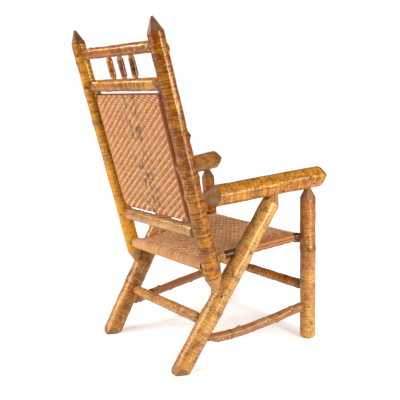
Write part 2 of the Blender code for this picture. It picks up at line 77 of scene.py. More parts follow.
camera = new_object("camera", bpy.data.cameras.new("camera"))
camera_side = square_to(CAMERA_SIDE, CAMERA_FORWARD)
camera_up = camera_side.cross(CAMERA_FORWARD)
turn = Matrix((camera_side, camera_up, -CAMERA_FORWARD)).transposed()
camera.matrix_world = Matrix.Translation(CAMERA_PLACE) @ turn.to_4x4()
camera.data.lens = CAMERA_LENS_MM
camera.data.sensor_width = SENSOR_MM
bpy.context.scene.camera = camera
bpy.context.scene.view_settings.view_transform = "Standard"
print("camera at", tuple(round(value, 3) for value in camera.location))

# %% [markdown]
# ## Nodes and colours
# Every finish below is a small web of shader nodes. A few helpers keep those webs readable: one adds a
# node and sets or links its inputs, and the others name the steps that come up most. A Pattern keeps the
# numbers of one noise under one name. Colours are written as display values from 0 to 255.

# %% Helpers for shader nodes
VALUE, COLOUR, VECTOR = "NodeSocketFloat", "NodeSocketColor", "NodeSocketVector"
SURFACE_OUTPUTS = {"Color": COLOUR, "Roughness": VALUE, "Height": VALUE}
DISPLAY_WHITE = 255


@dataclass
class Pattern:
    """A noise: scale, detail, roughness, stretch and shift, and the two levels and the top of its mask."""

    scale: float
    detail: float = 3
    roughness: float = 0.5
    stretch: tuple = (1, 1, 1)
    shift: tuple = (0, 0, 0)
    levels: tuple = (0, 1)
    most: float = 1


def colour(*display):
    """A display colour as the linear colour that a shader socket takes."""
    shares = [value / DISPLAY_WHITE for value in display]
    return (*Color(shares).from_srgb_to_scene_linear(), 1.0)


def fill(tree, sockets, values):
    """Set or link sockets by their names."""
    for name, value in values.items():
        if isinstance(value, bpy.types.NodeSocket):
            tree.links.new(value, sockets[name])
        else:
            sockets[name].default_value = value


def add_node(tree, kind, inputs, **settings):
    """Add a shader node, set its options, fill its inputs, and give its outputs."""
    made = tree.nodes.new("ShaderNode" + kind)
    for name, value in settings.items():
        setattr(made, name, value)
    fill(tree, made.inputs, inputs)
    return made.outputs


def mask(tree, value, low=0.0, high=1.0, most=1.0, least=0.0):
    """A value that goes from least to most as another rises between two levels."""
    return add_node(tree, "MapRange", {
        "Value": value, "From Min": low, "From Max": high, "To Min": least, "To Max": most})["Result"]


def cloud(tree, place, pattern):
    """A noise pattern's value at each place."""
    vector = add_node(tree, "VectorMath", {0: place, 1: pattern.stretch, 2: pattern.shift},
                      operation="MULTIPLY_ADD")[0]
    return add_node(tree, "TexNoise", {"Vector": vector, "Scale": pattern.scale, "Detail": pattern.detail,
                                       "Roughness": pattern.roughness})["Fac"]


def marks(tree, place, pattern, most=None):
    """A noise pattern cut to its mask."""
    top = pattern.most if most is None else most
    return mask(tree, cloud(tree, place, pattern), *pattern.levels, top)


def arithmetic(tree, operation, first, second):
    """One step of arithmetic on two values."""
    return add_node(tree, "Math", {0: first, 1: second}, operation=operation)[0]


def mixed(tree, factor, first, second):
    """A mix of two values, by the Mix node's sockets for values."""
    return add_node(tree, "Mix", {0: factor, 2: first, 3: second})[0]


def blended(tree, factor, first, second):
    """A mix of two colours, by the same node's sockets for colours."""
    return add_node(tree, "Mix", {0: factor, 6: first, 7: second}, data_type="RGBA")[2]


def new_group(name, inputs):
    """An empty shader node group for a surface; gives its tree, what it is given and what it makes."""
    tree = bpy.data.node_groups.new(name, "ShaderNodeTree")
    for in_out, sockets in (("INPUT", inputs), ("OUTPUT", SURFACE_OUTPUTS)):
        for label, kind in sockets.items():
            tree.interface.new_socket(label, in_out=in_out, socket_type=kind)
    return tree, tree.nodes.new("NodeGroupInput").outputs, tree.nodes.new("NodeGroupOutput").inputs


print("node helpers ready")

# %% [markdown]
# ## Birch bark
# Yellow birch bark is golden under its varnish. It has cloudy patches, soft mottles, bands and fine rings
# round the log, dark scars, clusters of specks, pale flecks, a pale pinkish tint that is partly weathered
# wood and partly a painted sheen, and faint ridges that break up the gloss. All of these follow the log,
# not the room, so the pattern reads an attribute named grain: a point's place in the log before the log was
# put into the chair, with its length along Z. Object coordinates would cut every slanted log at an angle.

# %% Bark node group
KNOT_AND_SHADE_DARK = colour(48, 26, 12)
WEATHER_AND_SHEEN = colour(206, 164, 118)
PATCHES = Pattern(24, 3, 0.6, (1, 1, 0.5), (0, 0, 0), (0.40, 0.60), 0.30)
MOTTLES = Pattern(75, 4, 0.62, (1, 1, 0.9), (2, 6, 3), (0.44, 0.60), 0.25)
BANDS = Pattern(1, 3, 0.6, (9, 9, 95), (5, 3, 1), (0.45, 0.60))
RINGS = Pattern(1, 2, 0.5, (14, 14, 200), (9, 2, 5), (0.46, 0.58), 0.45)
FLECKS = Pattern(130, 2, 0.5, (1, 1, 1.6), (7, 1, 2), (0.59, 0.65), 0.5)
SCARS = Pattern(42, 5, 0.66, (1, 1, 0.8), (4, 4, 8), (0.56, 0.64))
SPECKS = Pattern(170, 2, 0.5, (1, 1, 1.4), (1, 8, 6), (0.57, 0.62), 0.75)
RIDGES = Pattern(1, 3, 0.5, (110, 110, 240))
CLUSTER_LEVELS = (0.30, 0.55)
DEPTH_LEVELS = (-0.05, 1.05)
SCAR_SINK = 0.5
BARK_SMOOTH, BARK_ROUGH = 0.12, 0.32

tree, given, made = new_group("birch_bark", {
    "Grain": VECTOR, **dict.fromkeys(("Pale", "Deep", "Scar"), COLOUR),
    **dict.fromkeys(("Tone", "Knot", "Weather", "Scar Amount", "Band Amount"), VALUE)})
bark_group, grain = tree, given["Grain"]
depth = given["Tone"]
for pattern, most in ((PATCHES, None), (MOTTLES, None), (BANDS, given["Band Amount"]), (RINGS, None)):
    depth = arithmetic(tree, "ADD", depth, marks(tree, grain, pattern, most))
base = blended(tree, mask(tree, depth, *DEPTH_LEVELS), given["Pale"], given["Deep"])
# A pale pinkish tint: partly weathering, partly a painted sheen.
base = blended(tree, given["Weather"], base, WEATHER_AND_SHEEN)
base = blended(tree, marks(tree, grain, FLECKS), base, given["Pale"])
clusters = mask(tree, cloud(tree, grain, PATCHES), *CLUSTER_LEVELS)
specks = arithmetic(tree, "MULTIPLY", marks(tree, grain, SPECKS), clusters)
dark = arithmetic(tree, "MAXIMUM", marks(tree, grain, SCARS, given["Scar Amount"]), specks)
marked = blended(tree, dark, base, given["Scar"])
sunk = arithmetic(tree, "MULTIPLY", dark, SCAR_SINK)
relief = arithmetic(tree, "SUBTRACT", cloud(tree, grain, RINGS), sunk)
# The knot mask darkens knots, and also the painted shade patches on the spindles.
fill(tree, made, {"Color": blended(tree, given["Knot"], marked, KNOT_AND_SHADE_DARK),
                  "Roughness": mask(tree, dark, most=BARK_ROUGH, least=BARK_SMOOTH),
                  "Height": arithmetic(tree, "ADD", relief, cloud(tree, grain, RIDGES))})
print("bark group:", len(tree.nodes), "nodes")

# %% [markdown]
# ## Knife-cut wood
# Where a knife has shaved a log's end, the wood under the bark shows as flat facets. Fresh cuts would be
# pale, but these are stained: some tan, some nearly as dark as the bark. One number from 0 to 1 picks the
# stain, and fine fibres run along the log. It is a group of its own because every bark carries such cuts.

# %% Cut-wood node group
CUT_PALE = colour(208, 156, 100)
CUT_DARK = colour(92, 44, 18)
CUT_FIBRES = Pattern(1, 3, 0.6, (420, 420, 18), levels=(0.52, 0.75), most=0.45)
SMEARS = Pattern(55, levels=(0.45, 0.75), most=0.25)
CUT_SMOOTH, CUT_ROUGH = 0.34, 0.58

tree, given, made = new_group("knife_cut_wood", {"Grain": VECTOR, "Stain": VALUE})
cut_group, grain = tree, given["Grain"]
fibres = cloud(tree, grain, CUT_FIBRES)
stain = arithmetic(tree, "ADD", given["Stain"], marks(tree, grain, SMEARS))
wood = blended(tree, stain, CUT_PALE, CUT_DARK)
fill(tree, made, {"Color": blended(tree, marks(tree, grain, CUT_FIBRES), wood, CUT_DARK),
                  "Roughness": mask(tree, fibres, most=CUT_ROUGH, least=CUT_SMOOTH), "Height": fibres})
print("cut wood group:", len(tree.nodes), "nodes")

# %% [markdown]
# ## Bark materials
# One material holds both surfaces: the face attribute stain is above zero on knife cuts only, so it
# serves as the mask and as the colour of the cut. The varnish is the Principled shader's own gloss with
# an amber tint and a thin coat. Three barks and the peeled wood differ only in their colours and in how
# many scars and bands they have, so one function makes all four.

# %% Bark materials
CUT_THRESHOLD = 0.01
VARNISH_SPECULAR = 0.65
VARNISH_AMBER = (1.0, 0.80, 0.45, 1.0)
BARK_COAT, CUT_COAT = 0.3, 0.1
VARNISH_COAT_ROUGHNESS = 0.16
BARK_RELIEF, BARK_BUMP = 0.0014, 0.6
BARK_LOOK = ("Pale", "Deep", "Scar", "Scar Amount", "Band Amount")


def attributes(tree, *names):
    """A piece's own attributes, under the names that the groups give their inputs."""
    return {name.title(): add_node(tree, "Attribute", {}, attribute_name=name)[
        "Vector" if name == "grain" else "Fac"] for name in names}


def new_material(name):
    """A material with its tree and the inputs of its Principled shader."""
    material = bpy.data.materials.new(name)
    material.use_nodes = True
    tree = material.node_tree
    return material, tree, tree.nodes["Principled BSDF"].inputs


def bump(tree, height, distance, strength):
    """Small relief from a height."""
    return add_node(tree, "Bump", {"Height": height, "Distance": distance, "Strength": strength})["Normal"]


def bark_material(name, look):
    """Varnished bark, with bare wood on the faces that a knife has cut."""
    material, tree, shader = new_material(name)
    on_bark = attributes(tree, "grain", "tone", "knot", "weather")
    on_cut = {"Grain": on_bark["Grain"], **attributes(tree, "stain")}
    bark = add_node(tree, "Group", {**on_bark, **dict(zip(BARK_LOOK, look))}, node_tree=bark_group)
    wood = add_node(tree, "Group", on_cut, node_tree=cut_group)
    is_cut = arithmetic(tree, "GREATER_THAN", on_cut["Stain"], CUT_THRESHOLD)
    height = mixed(tree, is_cut, bark["Height"], wood["Height"])
    fill(tree, shader, {
        "Base Color": blended(tree, is_cut, bark["Color"], wood["Color"]),
        "Roughness": mixed(tree, is_cut, bark["Roughness"], wood["Roughness"]),
        "Specular IOR Level": VARNISH_SPECULAR, "Specular Tint": VARNISH_AMBER,
        "Coat Weight": mask(tree, is_cut, most=CUT_COAT, least=BARK_COAT),
        "Coat Roughness": VARNISH_COAT_ROUGHNESS,
        "Normal": bump(tree, height, BARK_RELIEF, BARK_BUMP)})
    return material


BARKS = {
    "golden_bark": (colour(234, 156, 17), colour(126, 50, 0), colour(70, 32, 6), 0.55, 0.3),
    "tan_bark": (colour(238, 178, 84), colour(170, 82, 4), colour(96, 46, 8), 0.6, 0.25),
    "dark_bark": (colour(196, 112, 48), colour(80, 34, 8), colour(34, 14, 4), 0.6, 0.4),
    "peeled_wood": (colour(216, 172, 116), colour(180, 114, 54), colour(120, 70, 34), 0.4, 0.0),
}
FINISH = {name: bark_material(name, look) for name, look in BARKS.items()}
print("bark materials:", ", ".join(FINISH))

# %% [markdown]
# ## Finding the logs
# A CAD log is a tube of triangles. Its axis runs between the centres of its two end faces, so the script
# finds the points at the far ends along the longest direction and averages them, and repeats that with
# the better direction. A foot is cut level with the floor and not square, so there the points on the
# floor are averaged instead.

# %% Measure the logs
END_BAND = 0.0005
MEASURE_ROUNDS = 4
UP, FORWARD, RIGHTWARD = Vector((0, 0, 1)), Vector((0, -1, 0)), Vector((-1, 0, 0))


def node_points(node):
    """Every different corner of a CAD node."""
    corners = np.array([vertex.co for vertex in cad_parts[node].data.vertices])
    return np.unique(corners.round(6), axis=0)


def log_ends(node):
    """Centres of a CAD log's end faces."""
    points = node_points(node)
    direction = np.linalg.svd(points - points.mean(axis=0), full_matrices=False)[2][0]
    for _ in range(MEASURE_ROUNDS):
        along = points @ direction
        ends = [points[along < along.min() + END_BAND], points[along > along.max() - END_BAND]]
        for index, end in enumerate(ends):
            if end[:, 2].min() < END_BAND:
                ends[index] = points[points[:, 2] < END_BAND]
        centres = [end.mean(axis=0) for end in ends]
        direction = (centres[1] - centres[0]) / np.linalg.norm(centres[1] - centres[0])
    return [Vector(end) for end in centres]


def axis_from(node, towards):
    """A log's axis as start and end, with its end the way that the given direction points."""
    first, second = log_ends(node)
    return (first, second) if (second - first).dot(towards) > 0 else (second, first)


post_axis = axis_from("right_back_post", UP)
print("right post from", [round(v, 4) for v in post_axis[0]], "to", [round(v, 4) for v in post_axis[1]])

# %% [markdown]
# ## Shaping a log
# A real log is never a perfect cylinder. It could be sculpted, or displaced with a texture, but then its
# knots would fall anywhere. Here a cylinder is subdivided along its length, and each of its points is
# moved out or in by a formula: the log's taper, an oval, soft lumps, and knots at chosen places. Angles
# are measured round the log: 0 is the picture's right, and -90 faces the camera.

# %% Billets with lumps and knots
LOG_SIDES = 36
RING_STEP = 0.0035
LUMP_SIZE, LUMP_HEIGHT = 0.045, 0.0014
RIPPLE_SIZE, RIPPLE_HEIGHT = 0.008, 0.00035
RIPPLE_STRETCH = (0.4, 0.4, 1)
OVAL_SHARE = 0.02
NOISE_STEP = np.array((7.3, 3.1, 5.7))


@dataclass
class Knot:
    """A bump where a branch grew: where, how high, wide and dark, and whether it goes all the way round."""

    share: float
    angle: float
    height: float
    width: float
    dark: float = 0.6
    is_ring: bool = False


def ring(share, height, width, dark):
    """A swelling all the way round a log."""
    return Knot(share, 0, height, width, dark, True)


def patch(share, angle, width, dark):
    """A dark patch that doesn't stand out, for blotches in the bark and for painted shade."""
    return Knot(share, angle, 0.0, width, dark)


def mode(name):
    """Go into a mode, such as EDIT or OBJECT."""
    bpy.ops.object.mode_set(mode=name)


def new_cylinder(name, radius, low, high, sides):
    """A cylinder along Z between two heights, as the only selected object."""
    bpy.ops.object.select_all(action="DESELECT")
    bpy.ops.mesh.primitive_cylinder_add(vertices=sides, radius=radius, depth=high - low,
                                        location=(0, 0, (low + high) / 2))
    cylinder = bpy.context.object
    cylinder.name = cylinder.data.name = name
    bpy.ops.object.transform_apply(location=True, rotation=True, scale=True)
    return cylinder


def new_billet(name, radius, low, high, sides):
    """A straight round billet along Z, cut into short rings along its length."""
    billet = new_cylinder(name, radius, low, high, sides)
    mode("EDIT")
    bpy.ops.mesh.select_mode(type="EDGE")
    bpy.ops.mesh.select_all(action="DESELECT")
    mode("OBJECT")
    heights = mesh_points(billet.data)[:, 2]
    for edge in billet.data.edges:
        edge.select = bool(np.ptp(heights[list(edge.vertices)]) > (high - low) / 2)
    mode("EDIT")
    bpy.ops.mesh.subdivide(number_cuts=round((high - low) / RING_STEP))
    mode("OBJECT")
    return billet


def mesh_points(mesh):
    """A mesh's points as an array."""
    flat = np.empty(len(mesh.vertices) * 3)
    mesh.vertices.foreach_get("co", flat)
    return flat.reshape(-1, 3)


def soft_noise(points, size, seed):
    """Soft noise at each point."""
    shift = Vector(seed * NOISE_STEP)
    return np.array([noise.noise(Vector(point) / size + shift) for point in points])


def round_log(points, length):
    """Each point's height in a log, its share of the length, and its angle round the log."""
    along = points[:, 2].copy()
    return along, np.clip(along / length, 0, 1), np.arctan2(points[:, 1], points[:, 0])


def nearness(knot, along, angle, length, radius):
    """How near each point is to a knot over the bark, from 0 to 1."""
    lengthwise = along - knot.share * length
    turn = (angle - math.radians(knot.angle) + math.pi) % (2 * math.pi) - math.pi
    sideways = 0 if knot.is_ring else turn * radius
    return np.exp(-(np.hypot(lengthwise, sideways) / knot.width) ** 2)


def shape_billet(billet, look, length, bend, seed):
    """Move a billet's points to the log's natural form."""
    points = mesh_points(billet.data)
    along, share, angle = round_log(points, length)
    radius = look.radii[0] + (look.radii[1] - look.radii[0]) * share
    radius = radius * (1 + OVAL_SHARE * np.cos(2 * angle + seed))
    radius += LUMP_HEIGHT * soft_noise(points, LUMP_SIZE, seed)
    radius += RIPPLE_HEIGHT * soft_noise(points * RIPPLE_STRETCH, RIPPLE_SIZE, seed)
    for knot in look.knots:
        radius += knot.height * nearness(knot, along, angle, length, look.radii[0])
    points[:, 0] = radius * np.cos(angle)
    points[:, 1] = radius * np.sin(angle)
    if bend:
        points[:, :2] += bend(share)
    billet.data.vertices.foreach_set("co", points.ravel())


print("billet shaping ready")

# %% [markdown]
# ## Whittled ends
# The maker pointed each log with a drawknife, a stroke at a time. A cone would be too neat. The bisect
# tool does what the knife does: it cuts away all that lies past a plane and fills the cut. A few planes
# round the end, each a little off, give true facets. The same tool saws the feet level with the floor.

# %% Knife strokes
STROKE_TURN_JITTER = 0.12
STROKE_REACH_JITTER = 0.12
END_FACE_LEVEL = 0.999


@dataclass
class Cut:
    """A whittled end: hidden length in another log, radius at its mouth, taper, strokes and stains."""

    hidden: float
    radius: float
    taper: float
    strokes: int = 8
    stain: float = 0.6
    level: bool = False
    face_stain: float = 0.3
    stain_spread: float = 0.08


def stain_faces(piece, stain, is_cut):
    """Mark the faces that a test picks as bare wood."""
    faces = bmesh.from_edit_mesh(piece.data).faces
    layer = faces.layers.float["stain"]
    for face in filter(is_cut, faces):
        face[layer] = stain


def shave(piece, point, outward, stain):
    """Cut away what lies past a plane, and mark the new facet as bare wood."""
    bpy.ops.mesh.select_all(action="SELECT")
    bpy.ops.mesh.bisect(plane_co=point, plane_no=outward, use_fill=True, clear_outer=True)
    bpy.ops.mesh.mark_sharp()
    stain_faces(piece, stain, lambda face: face.select)


def whittle(piece, cut, end, inward, full_radius, chance):
    """Point one end of a log that lies along Z with a ring of knife strokes, and stain its flat end."""
    for stroke in range(cut.strokes):
        turn = 2 * math.pi * (stroke + chance.uniform(-1, 1) * STROKE_TURN_JITTER) / cut.strokes
        radial = Vector((math.cos(turn), math.sin(turn), 0))
        reach = cut.taper * (1 + chance.uniform(-1, 1) * STROKE_REACH_JITTER)
        mouth = Vector((0, 0, end + inward * cut.hidden)) + radial * cut.radius
        rise = Vector((0, 0, inward * reach)) + radial * (full_radius - cut.radius)
        outward = radial - rise * (radial.dot(rise) / rise.length_squared)
        spread = chance.uniform(-1, 1) * cut.stain_spread
        shave(piece, mouth, outward.normalized(), max(cut.stain + spread, 0.0))
    stain_faces(piece, cut.face_stain, lambda face: -face.normal.z * inward > END_FACE_LEVEL)


print("knife ready")

# %% [markdown]
# ## Putting a log together
# One function makes any log of the chair: it reads the axis from the frame, shapes and whittles a billet
# that lies along Z, stores where each point was in the log, and only then moves the mesh into place. The
# ends run as deep into their neighbours as the CAD tenons do, so no joint shows a gap.

# %% One log
SMOOTH_ANGLE = math.radians(38)
FOOT_SPARE = 0.04
END_EASE = 0.0003
SEED_LIMIT = 97
GRAIN_STEP = np.array((0.37, 0.11, 0.53))


@dataclass
class Look:
    """How a log looks: finish, radii, cuts, tone from start to end, knots, sides, weathering and painted
    sheen.
    """

    finish: str
    radii: tuple
    cuts: tuple
    tone: tuple = (0.2, 0.2)
    knots: tuple = ()
    weather: float = 0.0
    sides: int = LOG_SIDES


def store(mesh, **values):
    """Keep values or vectors at each point of a mesh."""
    for name, listed in values.items():
        kind, key = ("FLOAT_VECTOR", "vector") if np.ndim(listed) == 2 else ("FLOAT", "value")
        layer = mesh.attributes.new(name, kind, "POINT")
        layer.data.foreach_set(key, np.asarray(listed, dtype=np.float32).ravel())


def store_bark(mesh, look, length, seed):
    """Keep what the bark needs at each point, while the log still lies along Z."""
    points = mesh_points(mesh)
    along, share, angle = round_log(points, length)
    dark = np.zeros(len(points))
    for knot in look.knots:
        dark = np.maximum(dark, knot.dark * nearness(knot, along, angle, length, look.radii[0]))
    store(mesh, grain=points + seed * GRAIN_STEP, knot=dark, weather=np.full(len(points), look.weather),
          tone=look.tone[0] + (look.tone[1] - look.tone[0]) * share)


def log_frame(start, end):
    """A log's own frame: Z along it, X towards the picture's right."""
    along = (end - start).normalized()
    side = square_to(camera_side, along)
    return Matrix.Translation(start) @ Matrix((side, along.cross(side), along)).transposed().to_4x4()


def make_log(node, towards, look, bend=None):
    """Build one log in the chair and let it stand for its CAD node."""
    start, end = axis_from(node, towards)
    end = end - (end - start).normalized() * END_EASE
    length = (end - start).length
    placing = log_frame(start, end)
    seed = len(node) + sum(map(ord, node)) % SEED_LIMIT
    chance = random.Random(seed)
    foot, tip = look.cuts
    low = -FOOT_SPARE if foot.level else 0
    piece = new_billet(node + "_log", look.radii[0], low, length, look.sides)
    shape_billet(piece, look, length, bend, seed)
    piece.data.attributes.new("stain", "FLOAT", "FACE")
    mode("EDIT")
    whittle(piece, foot, 0, 1, look.radii[0], chance)
    whittle(piece, tip, length, -1, look.radii[1], chance)
    if foot.level:
        to_log = placing.inverted()
        down = (to_log.to_3x3() @ -UP).normalized()
        shave(piece, to_log @ Vector((start.x, start.y, END_EASE)), down, foot.stain)
    mode("OBJECT")
    store_bark(piece.data, look, length, seed)
    piece.data.transform(placing)
    bpy.ops.object.shade_smooth_by_angle(angle=SMOOTH_ANGLE, keep_sharp_edges=True)
    dress(piece, look.finish, node)


def dress(piece, finish, node):
    """Give a piece its material, hang it under the root and hide the CAD node that it replaces."""
    piece.data.materials.clear()
    piece.data.materials.append(FINISH[finish])
    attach(piece, "root")
    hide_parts(node)


print("log maker ready")

# %% [markdown]
# ## The two back posts
# The posts are the tallest logs. They lean back, carry a pointed tip stained dark brown, and end below in
# a long whittled cone that goes into the rear leg. The right post has a whorl of branch stubs at half
# height, and the left one a dark scar below its upper rail.

# %% Back posts
RIGHT_POST_RADII = (0.0284, 0.0247)
LEFT_POST_RADII = (0.0268, 0.0220)
POST_CUTS = (Cut(0.0275, 0.012, 0.046, 8, 0.10), Cut(0.0, 0.0035, 0.043, 10, 0.85))

make_log("right_back_post", UP, Look("golden_bark", RIGHT_POST_RADII, POST_CUTS, (0.25, 0.45), (
    Knot(0.895, 5, 0.006, 0.008, 0.4), Knot(0.605, 5, 0.008, 0.009, 0.3),
    Knot(0.510, 185, 0.010, 0.011, 0.5), ring(0.49, 0.0022, 0.022, 0.2),
    Knot(0.455, 15, 0.004, 0.012, 0.3), Knot(0.395, 180, 0.006, 0.010, 0.4))))
make_log("left_back_post", UP, Look("golden_bark", LEFT_POST_RADII, POST_CUTS, (-0.75, 0.0), (
    Knot(0.645, -75, 0.002, 0.007, 1.0), ring(0.645, 0.0012, 0.006, 0.65),
    Knot(0.52, -70, 0.001, 0.006, 0.7), ring(0.88, 0.0010, 0.005, 0.4), Knot(0.33, 20, 0.003, 0.010, 0.4))))
print("posts made")

# %% [markdown]
# ## The arms
# Each arm is the thickest log of the chair. Its rear end is a dark, faceted cone let into the post, and
# its front end is rounded off by a few strokes that leave a small flat face.

# %% Arms
ARM_RADII = (0.0342, 0.0364)
ARM_CUTS = (Cut(0.0295, 0.014, 0.044, 14, 0.65), Cut(0.0, 0.006, 0.042, 8, 0.0, stain_spread=0.0))

make_log("right_arm", FORWARD, Look("golden_bark", ARM_RADII, ARM_CUTS, (0.05, -0.1), (
    Knot(0.45, 150, 0.003, 0.012), Knot(0.80, -20, 0.002, 0.010)), 0.1))
make_log("left_arm", FORWARD, Look("golden_bark", ARM_RADII, ARM_CUTS, (0.25, 0.25), (
    Knot(0.55, 100, 0.002, 0.010),), 0.2))
print("arms made")

# %% [markdown]
# ## The legs
# The rear legs slant from the floor far behind the seat up to the middle of the arms, and the front legs
# stand nearly upright. Their feet are sawn level and their edges eased with a knife.

# %% Legs
REAR_LEG_RADIUS = {"right": 0.0316, "left": 0.0328}
FRONT_LEG_RADIUS = {"right": 0.0284, "left": 0.0268}
# The right rear leg grows lighter towards its top, partly its own tone and partly a painted light where the
# arm shades it.
REAR_LEG_TONE_AND_LIGHT = {"right": (0.3, -0.6), "left": (0.1, 0.05)}
REAR_LEG_CUTS = (Cut(0.0, 0.0243, 0.020, 5, 0.5, level=True, stain_spread=0.2),
                 Cut(0.0295, 0.015, 0.030, 8, 0.3))
FRONT_LEG_CUTS = (Cut(0.0, 0.0226, 0.010, 14, 0.0, level=True, stain_spread=0.0),
                  Cut(0.0295, 0.012, 0.030, 9, 0.6))

for side, radius in REAR_LEG_RADIUS.items():
    make_log(f"{side}_rear_leg", UP, Look("tan_bark", (radius,) * 2, REAR_LEG_CUTS, REAR_LEG_TONE_AND_LIGHT[side], (
        Knot(0.62, 0, 0.003, 0.010, 0.3), Knot(0.30, 180, 0.003, 0.012, 0.4),
        ring(0.33, 0.0010, 0.009, 0.4), ring(0.51, 0.0010, 0.010, 0.4), patch(0.80, -30, 0.022, 0.4),
        patch(0.68, -45, 0.020, 0.3), patch(0.74, -150, 0.020, 0.3), patch(0.43, -60, 0.018, 0.25),
        patch(0.15, -75, 0.018, 0.2)), 0.25))
make_log("right_front_leg", UP, Look(
    "tan_bark", (FRONT_LEG_RADIUS["right"],) * 2, FRONT_LEG_CUTS, (-0.35, 0.75), (
        Knot(0.58, -90, 0.004, 0.0075, 1.0), patch(0.58, -70, 0.013, 0.45),
        ring(0.58, 0.0020, 0.012, 0.3), patch(0.86, -25, 0.010, 0.3)), 0.15))
make_log("left_front_leg", UP, Look(
    "tan_bark", (FRONT_LEG_RADIUS["left"],) * 2, FRONT_LEG_CUTS, (0.1, 0.6), (
        Knot(0.40, 30, 0.003, 0.009),)))
print("legs made")

# %% [markdown]
# ## Rails and stretchers
# The cross pieces are thinner poles with short whittled necks at their ends. The right stretcher sags near
# its rear end, so its billet is bent by the same sag as the CAD log. The lower back rail is peeled.

# %% Rails and stretchers
POLE_SIDES = 24
BACK_RAIL_CUT = Cut(0.0235, 0.012, 0.012, 7, 0.5)
SEAT_RAIL_CUT = Cut(0.0155, 0.009, 0.014, 7, 0.9)
STRETCHER_CUT = Cut(0.0215, 0.011, 0.012, 7, 0.45)
SEAT_RAIL_TONE = (0.7, 0.7)
RIGHT_STRETCHER_SAG, SAG_PLACE = 0.016, 0.33


def pole(finish, radius, cut, tone, knots=(), weather=0.0):
    """The look of a cross piece, alike at both ends."""
    return Look(finish, (radius, radius), (cut, cut), tone, knots, weather, POLE_SIDES)


def stretcher_sag(start, end):
    """The right stretcher's drop, in its own frame, deepest at one place along it."""
    to_log = log_frame(start, end).inverted().to_3x3()
    down = np.array(to_log @ -UP)[:2]

    def drop(share):
        rear = np.sin(math.pi / 2 * np.clip(share / SAG_PLACE, 0, 1))
        front = np.sin(math.pi / 2 * np.clip((1 - share) / (1 - SAG_PLACE), 0, 1))
        return np.outer(RIGHT_STRETCHER_SAG * np.where(share < SAG_PLACE, rear, front), down)

    return drop


CROSS_POLES = {
    "crest_rail": pole("golden_bark", 0.0175, BACK_RAIL_CUT, (0.4, 0.3), (
        Knot(0.90, 165, 0.002, 0.008, 0.8), Knot(0.16, 120, 0.002, 0.009, 0.5)), 0.05),
    "upper_back_rail": pole("golden_bark", 0.0196, BACK_RAIL_CUT, (0.15, 0.05), (
        Knot(0.92, 170, 0.002, 0.008, 0.8), Knot(0.10, 150, 0.002, 0.009, 0.5)), 0.1),
    "lower_back_rail": pole("peeled_wood", 0.0216, BACK_RAIL_CUT, (0.3, 0.1)),
    "rear_seat_rail": pole("dark_bark", 0.0165, SEAT_RAIL_CUT, SEAT_RAIL_TONE),
    "front_seat_rail": pole("dark_bark", 0.0140, SEAT_RAIL_CUT, SEAT_RAIL_TONE),
    "rear_stretcher": pole("tan_bark", 0.0178, STRETCHER_CUT, (0.1, 0.0), (
        ring(0.72, 0.001, 0.005, 0.6),), 0.25),
    "front_stretcher": pole("tan_bark", 0.0174, STRETCHER_CUT, (-0.2, 0.1), (
        ring(0.945, 0.001, 0.011, 0.85),)),
}
SIDE_RAIL = pole("dark_bark", 0.0132, SEAT_RAIL_CUT, SEAT_RAIL_TONE)
SIDE_STRETCHER = pole("tan_bark", 0.0160, STRETCHER_CUT, (0.6, 0.5), (
    Knot(0.12, 80, 0.006, 0.006, 0.3), ring(0.24, 0.0012, 0.009, 0.6), Knot(0.33, -100, 0.007, 0.006, 0.3),
    Knot(0.46, 90, 0.007, 0.006, 0.3), Knot(0.58, -80, 0.006, 0.006, 0.3),
    Knot(0.70, 85, 0.007, 0.006, 0.3), Knot(0.84, -90, 0.006, 0.007, 0.3), ring(0.5, 0.0, 0.3, 0.2)), 0.4)
SAGS = {"right": stretcher_sag(*axis_from("right_stretcher", FORWARD)), "left": None}

for node, look in CROSS_POLES.items():
    make_log(node, RIGHTWARD, look)
for side, sag in SAGS.items():
    make_log(f"{side}_seat_rail", FORWARD, SIDE_RAIL)
    make_log(f"{side}_stretcher", FORWARD, SIDE_STRETCHER, sag)
print("rails and stretchers made")

# %% [markdown]
# ## Spindles and stiles
# Three short spindles stand between the two top rails, each with pale necks where a knife shaved it down
# to its tenons, and with a dark patch of painted shade halfway up, on the side towards the camera. Two
# stiles like them hold the woven back and are wrapped in its splints.

# %% Spindles and stiles
STICK_SIDES = 20
SPINDLE_CUTS = (Cut(0.0105, 0.0065, 0.009, 7, 0.05),) * 2
SPINDLE_RADII = (0.0100, 0.0098)
# Painted shade: a dark patch halfway up each spindle, on the side towards the camera.
SPINDLE_PAINTED_SHADE = (patch(0.45, -100, 0.010, 0.6),)
SPINDLE_FINISH = {"left": "tan_bark", "middle": "dark_bark", "right": "dark_bark"}
STILE_CUTS = (Cut(0.0105, 0.007, 0.006, 6, 0.4),) * 2
STILE_RADII = (0.0098, 0.0098)

for name, finish in SPINDLE_FINISH.items():
    make_log(f"{name}_crest_spindle", UP, Look(
        finish, SPINDLE_RADII, SPINDLE_CUTS, (0.1, 0.1), SPINDLE_PAINTED_SHADE, sides=STICK_SIDES))
for side in ("right", "left"):
    make_log(f"{side}_back_stile", UP, Look("dark_bark", STILE_RADII, STILE_CUTS, sides=STICK_SIDES))
print("sticks made")

# %% [markdown]
# ## Splint
# The mats are woven from thin flat splints of wood. The pattern reads each strand's own attributes: grain,
# with the strand's length along Z, a tint for each strand, roll where it turns over an edge, across from
# one border to the other, dip where it passes under, and wet where water has stained it. Painted shade
# darkens the borders and the dips, where strands meet and pass under each other, and the rolled edges take
# a colour that holds painted shade too. Fine fibres run along the strand.

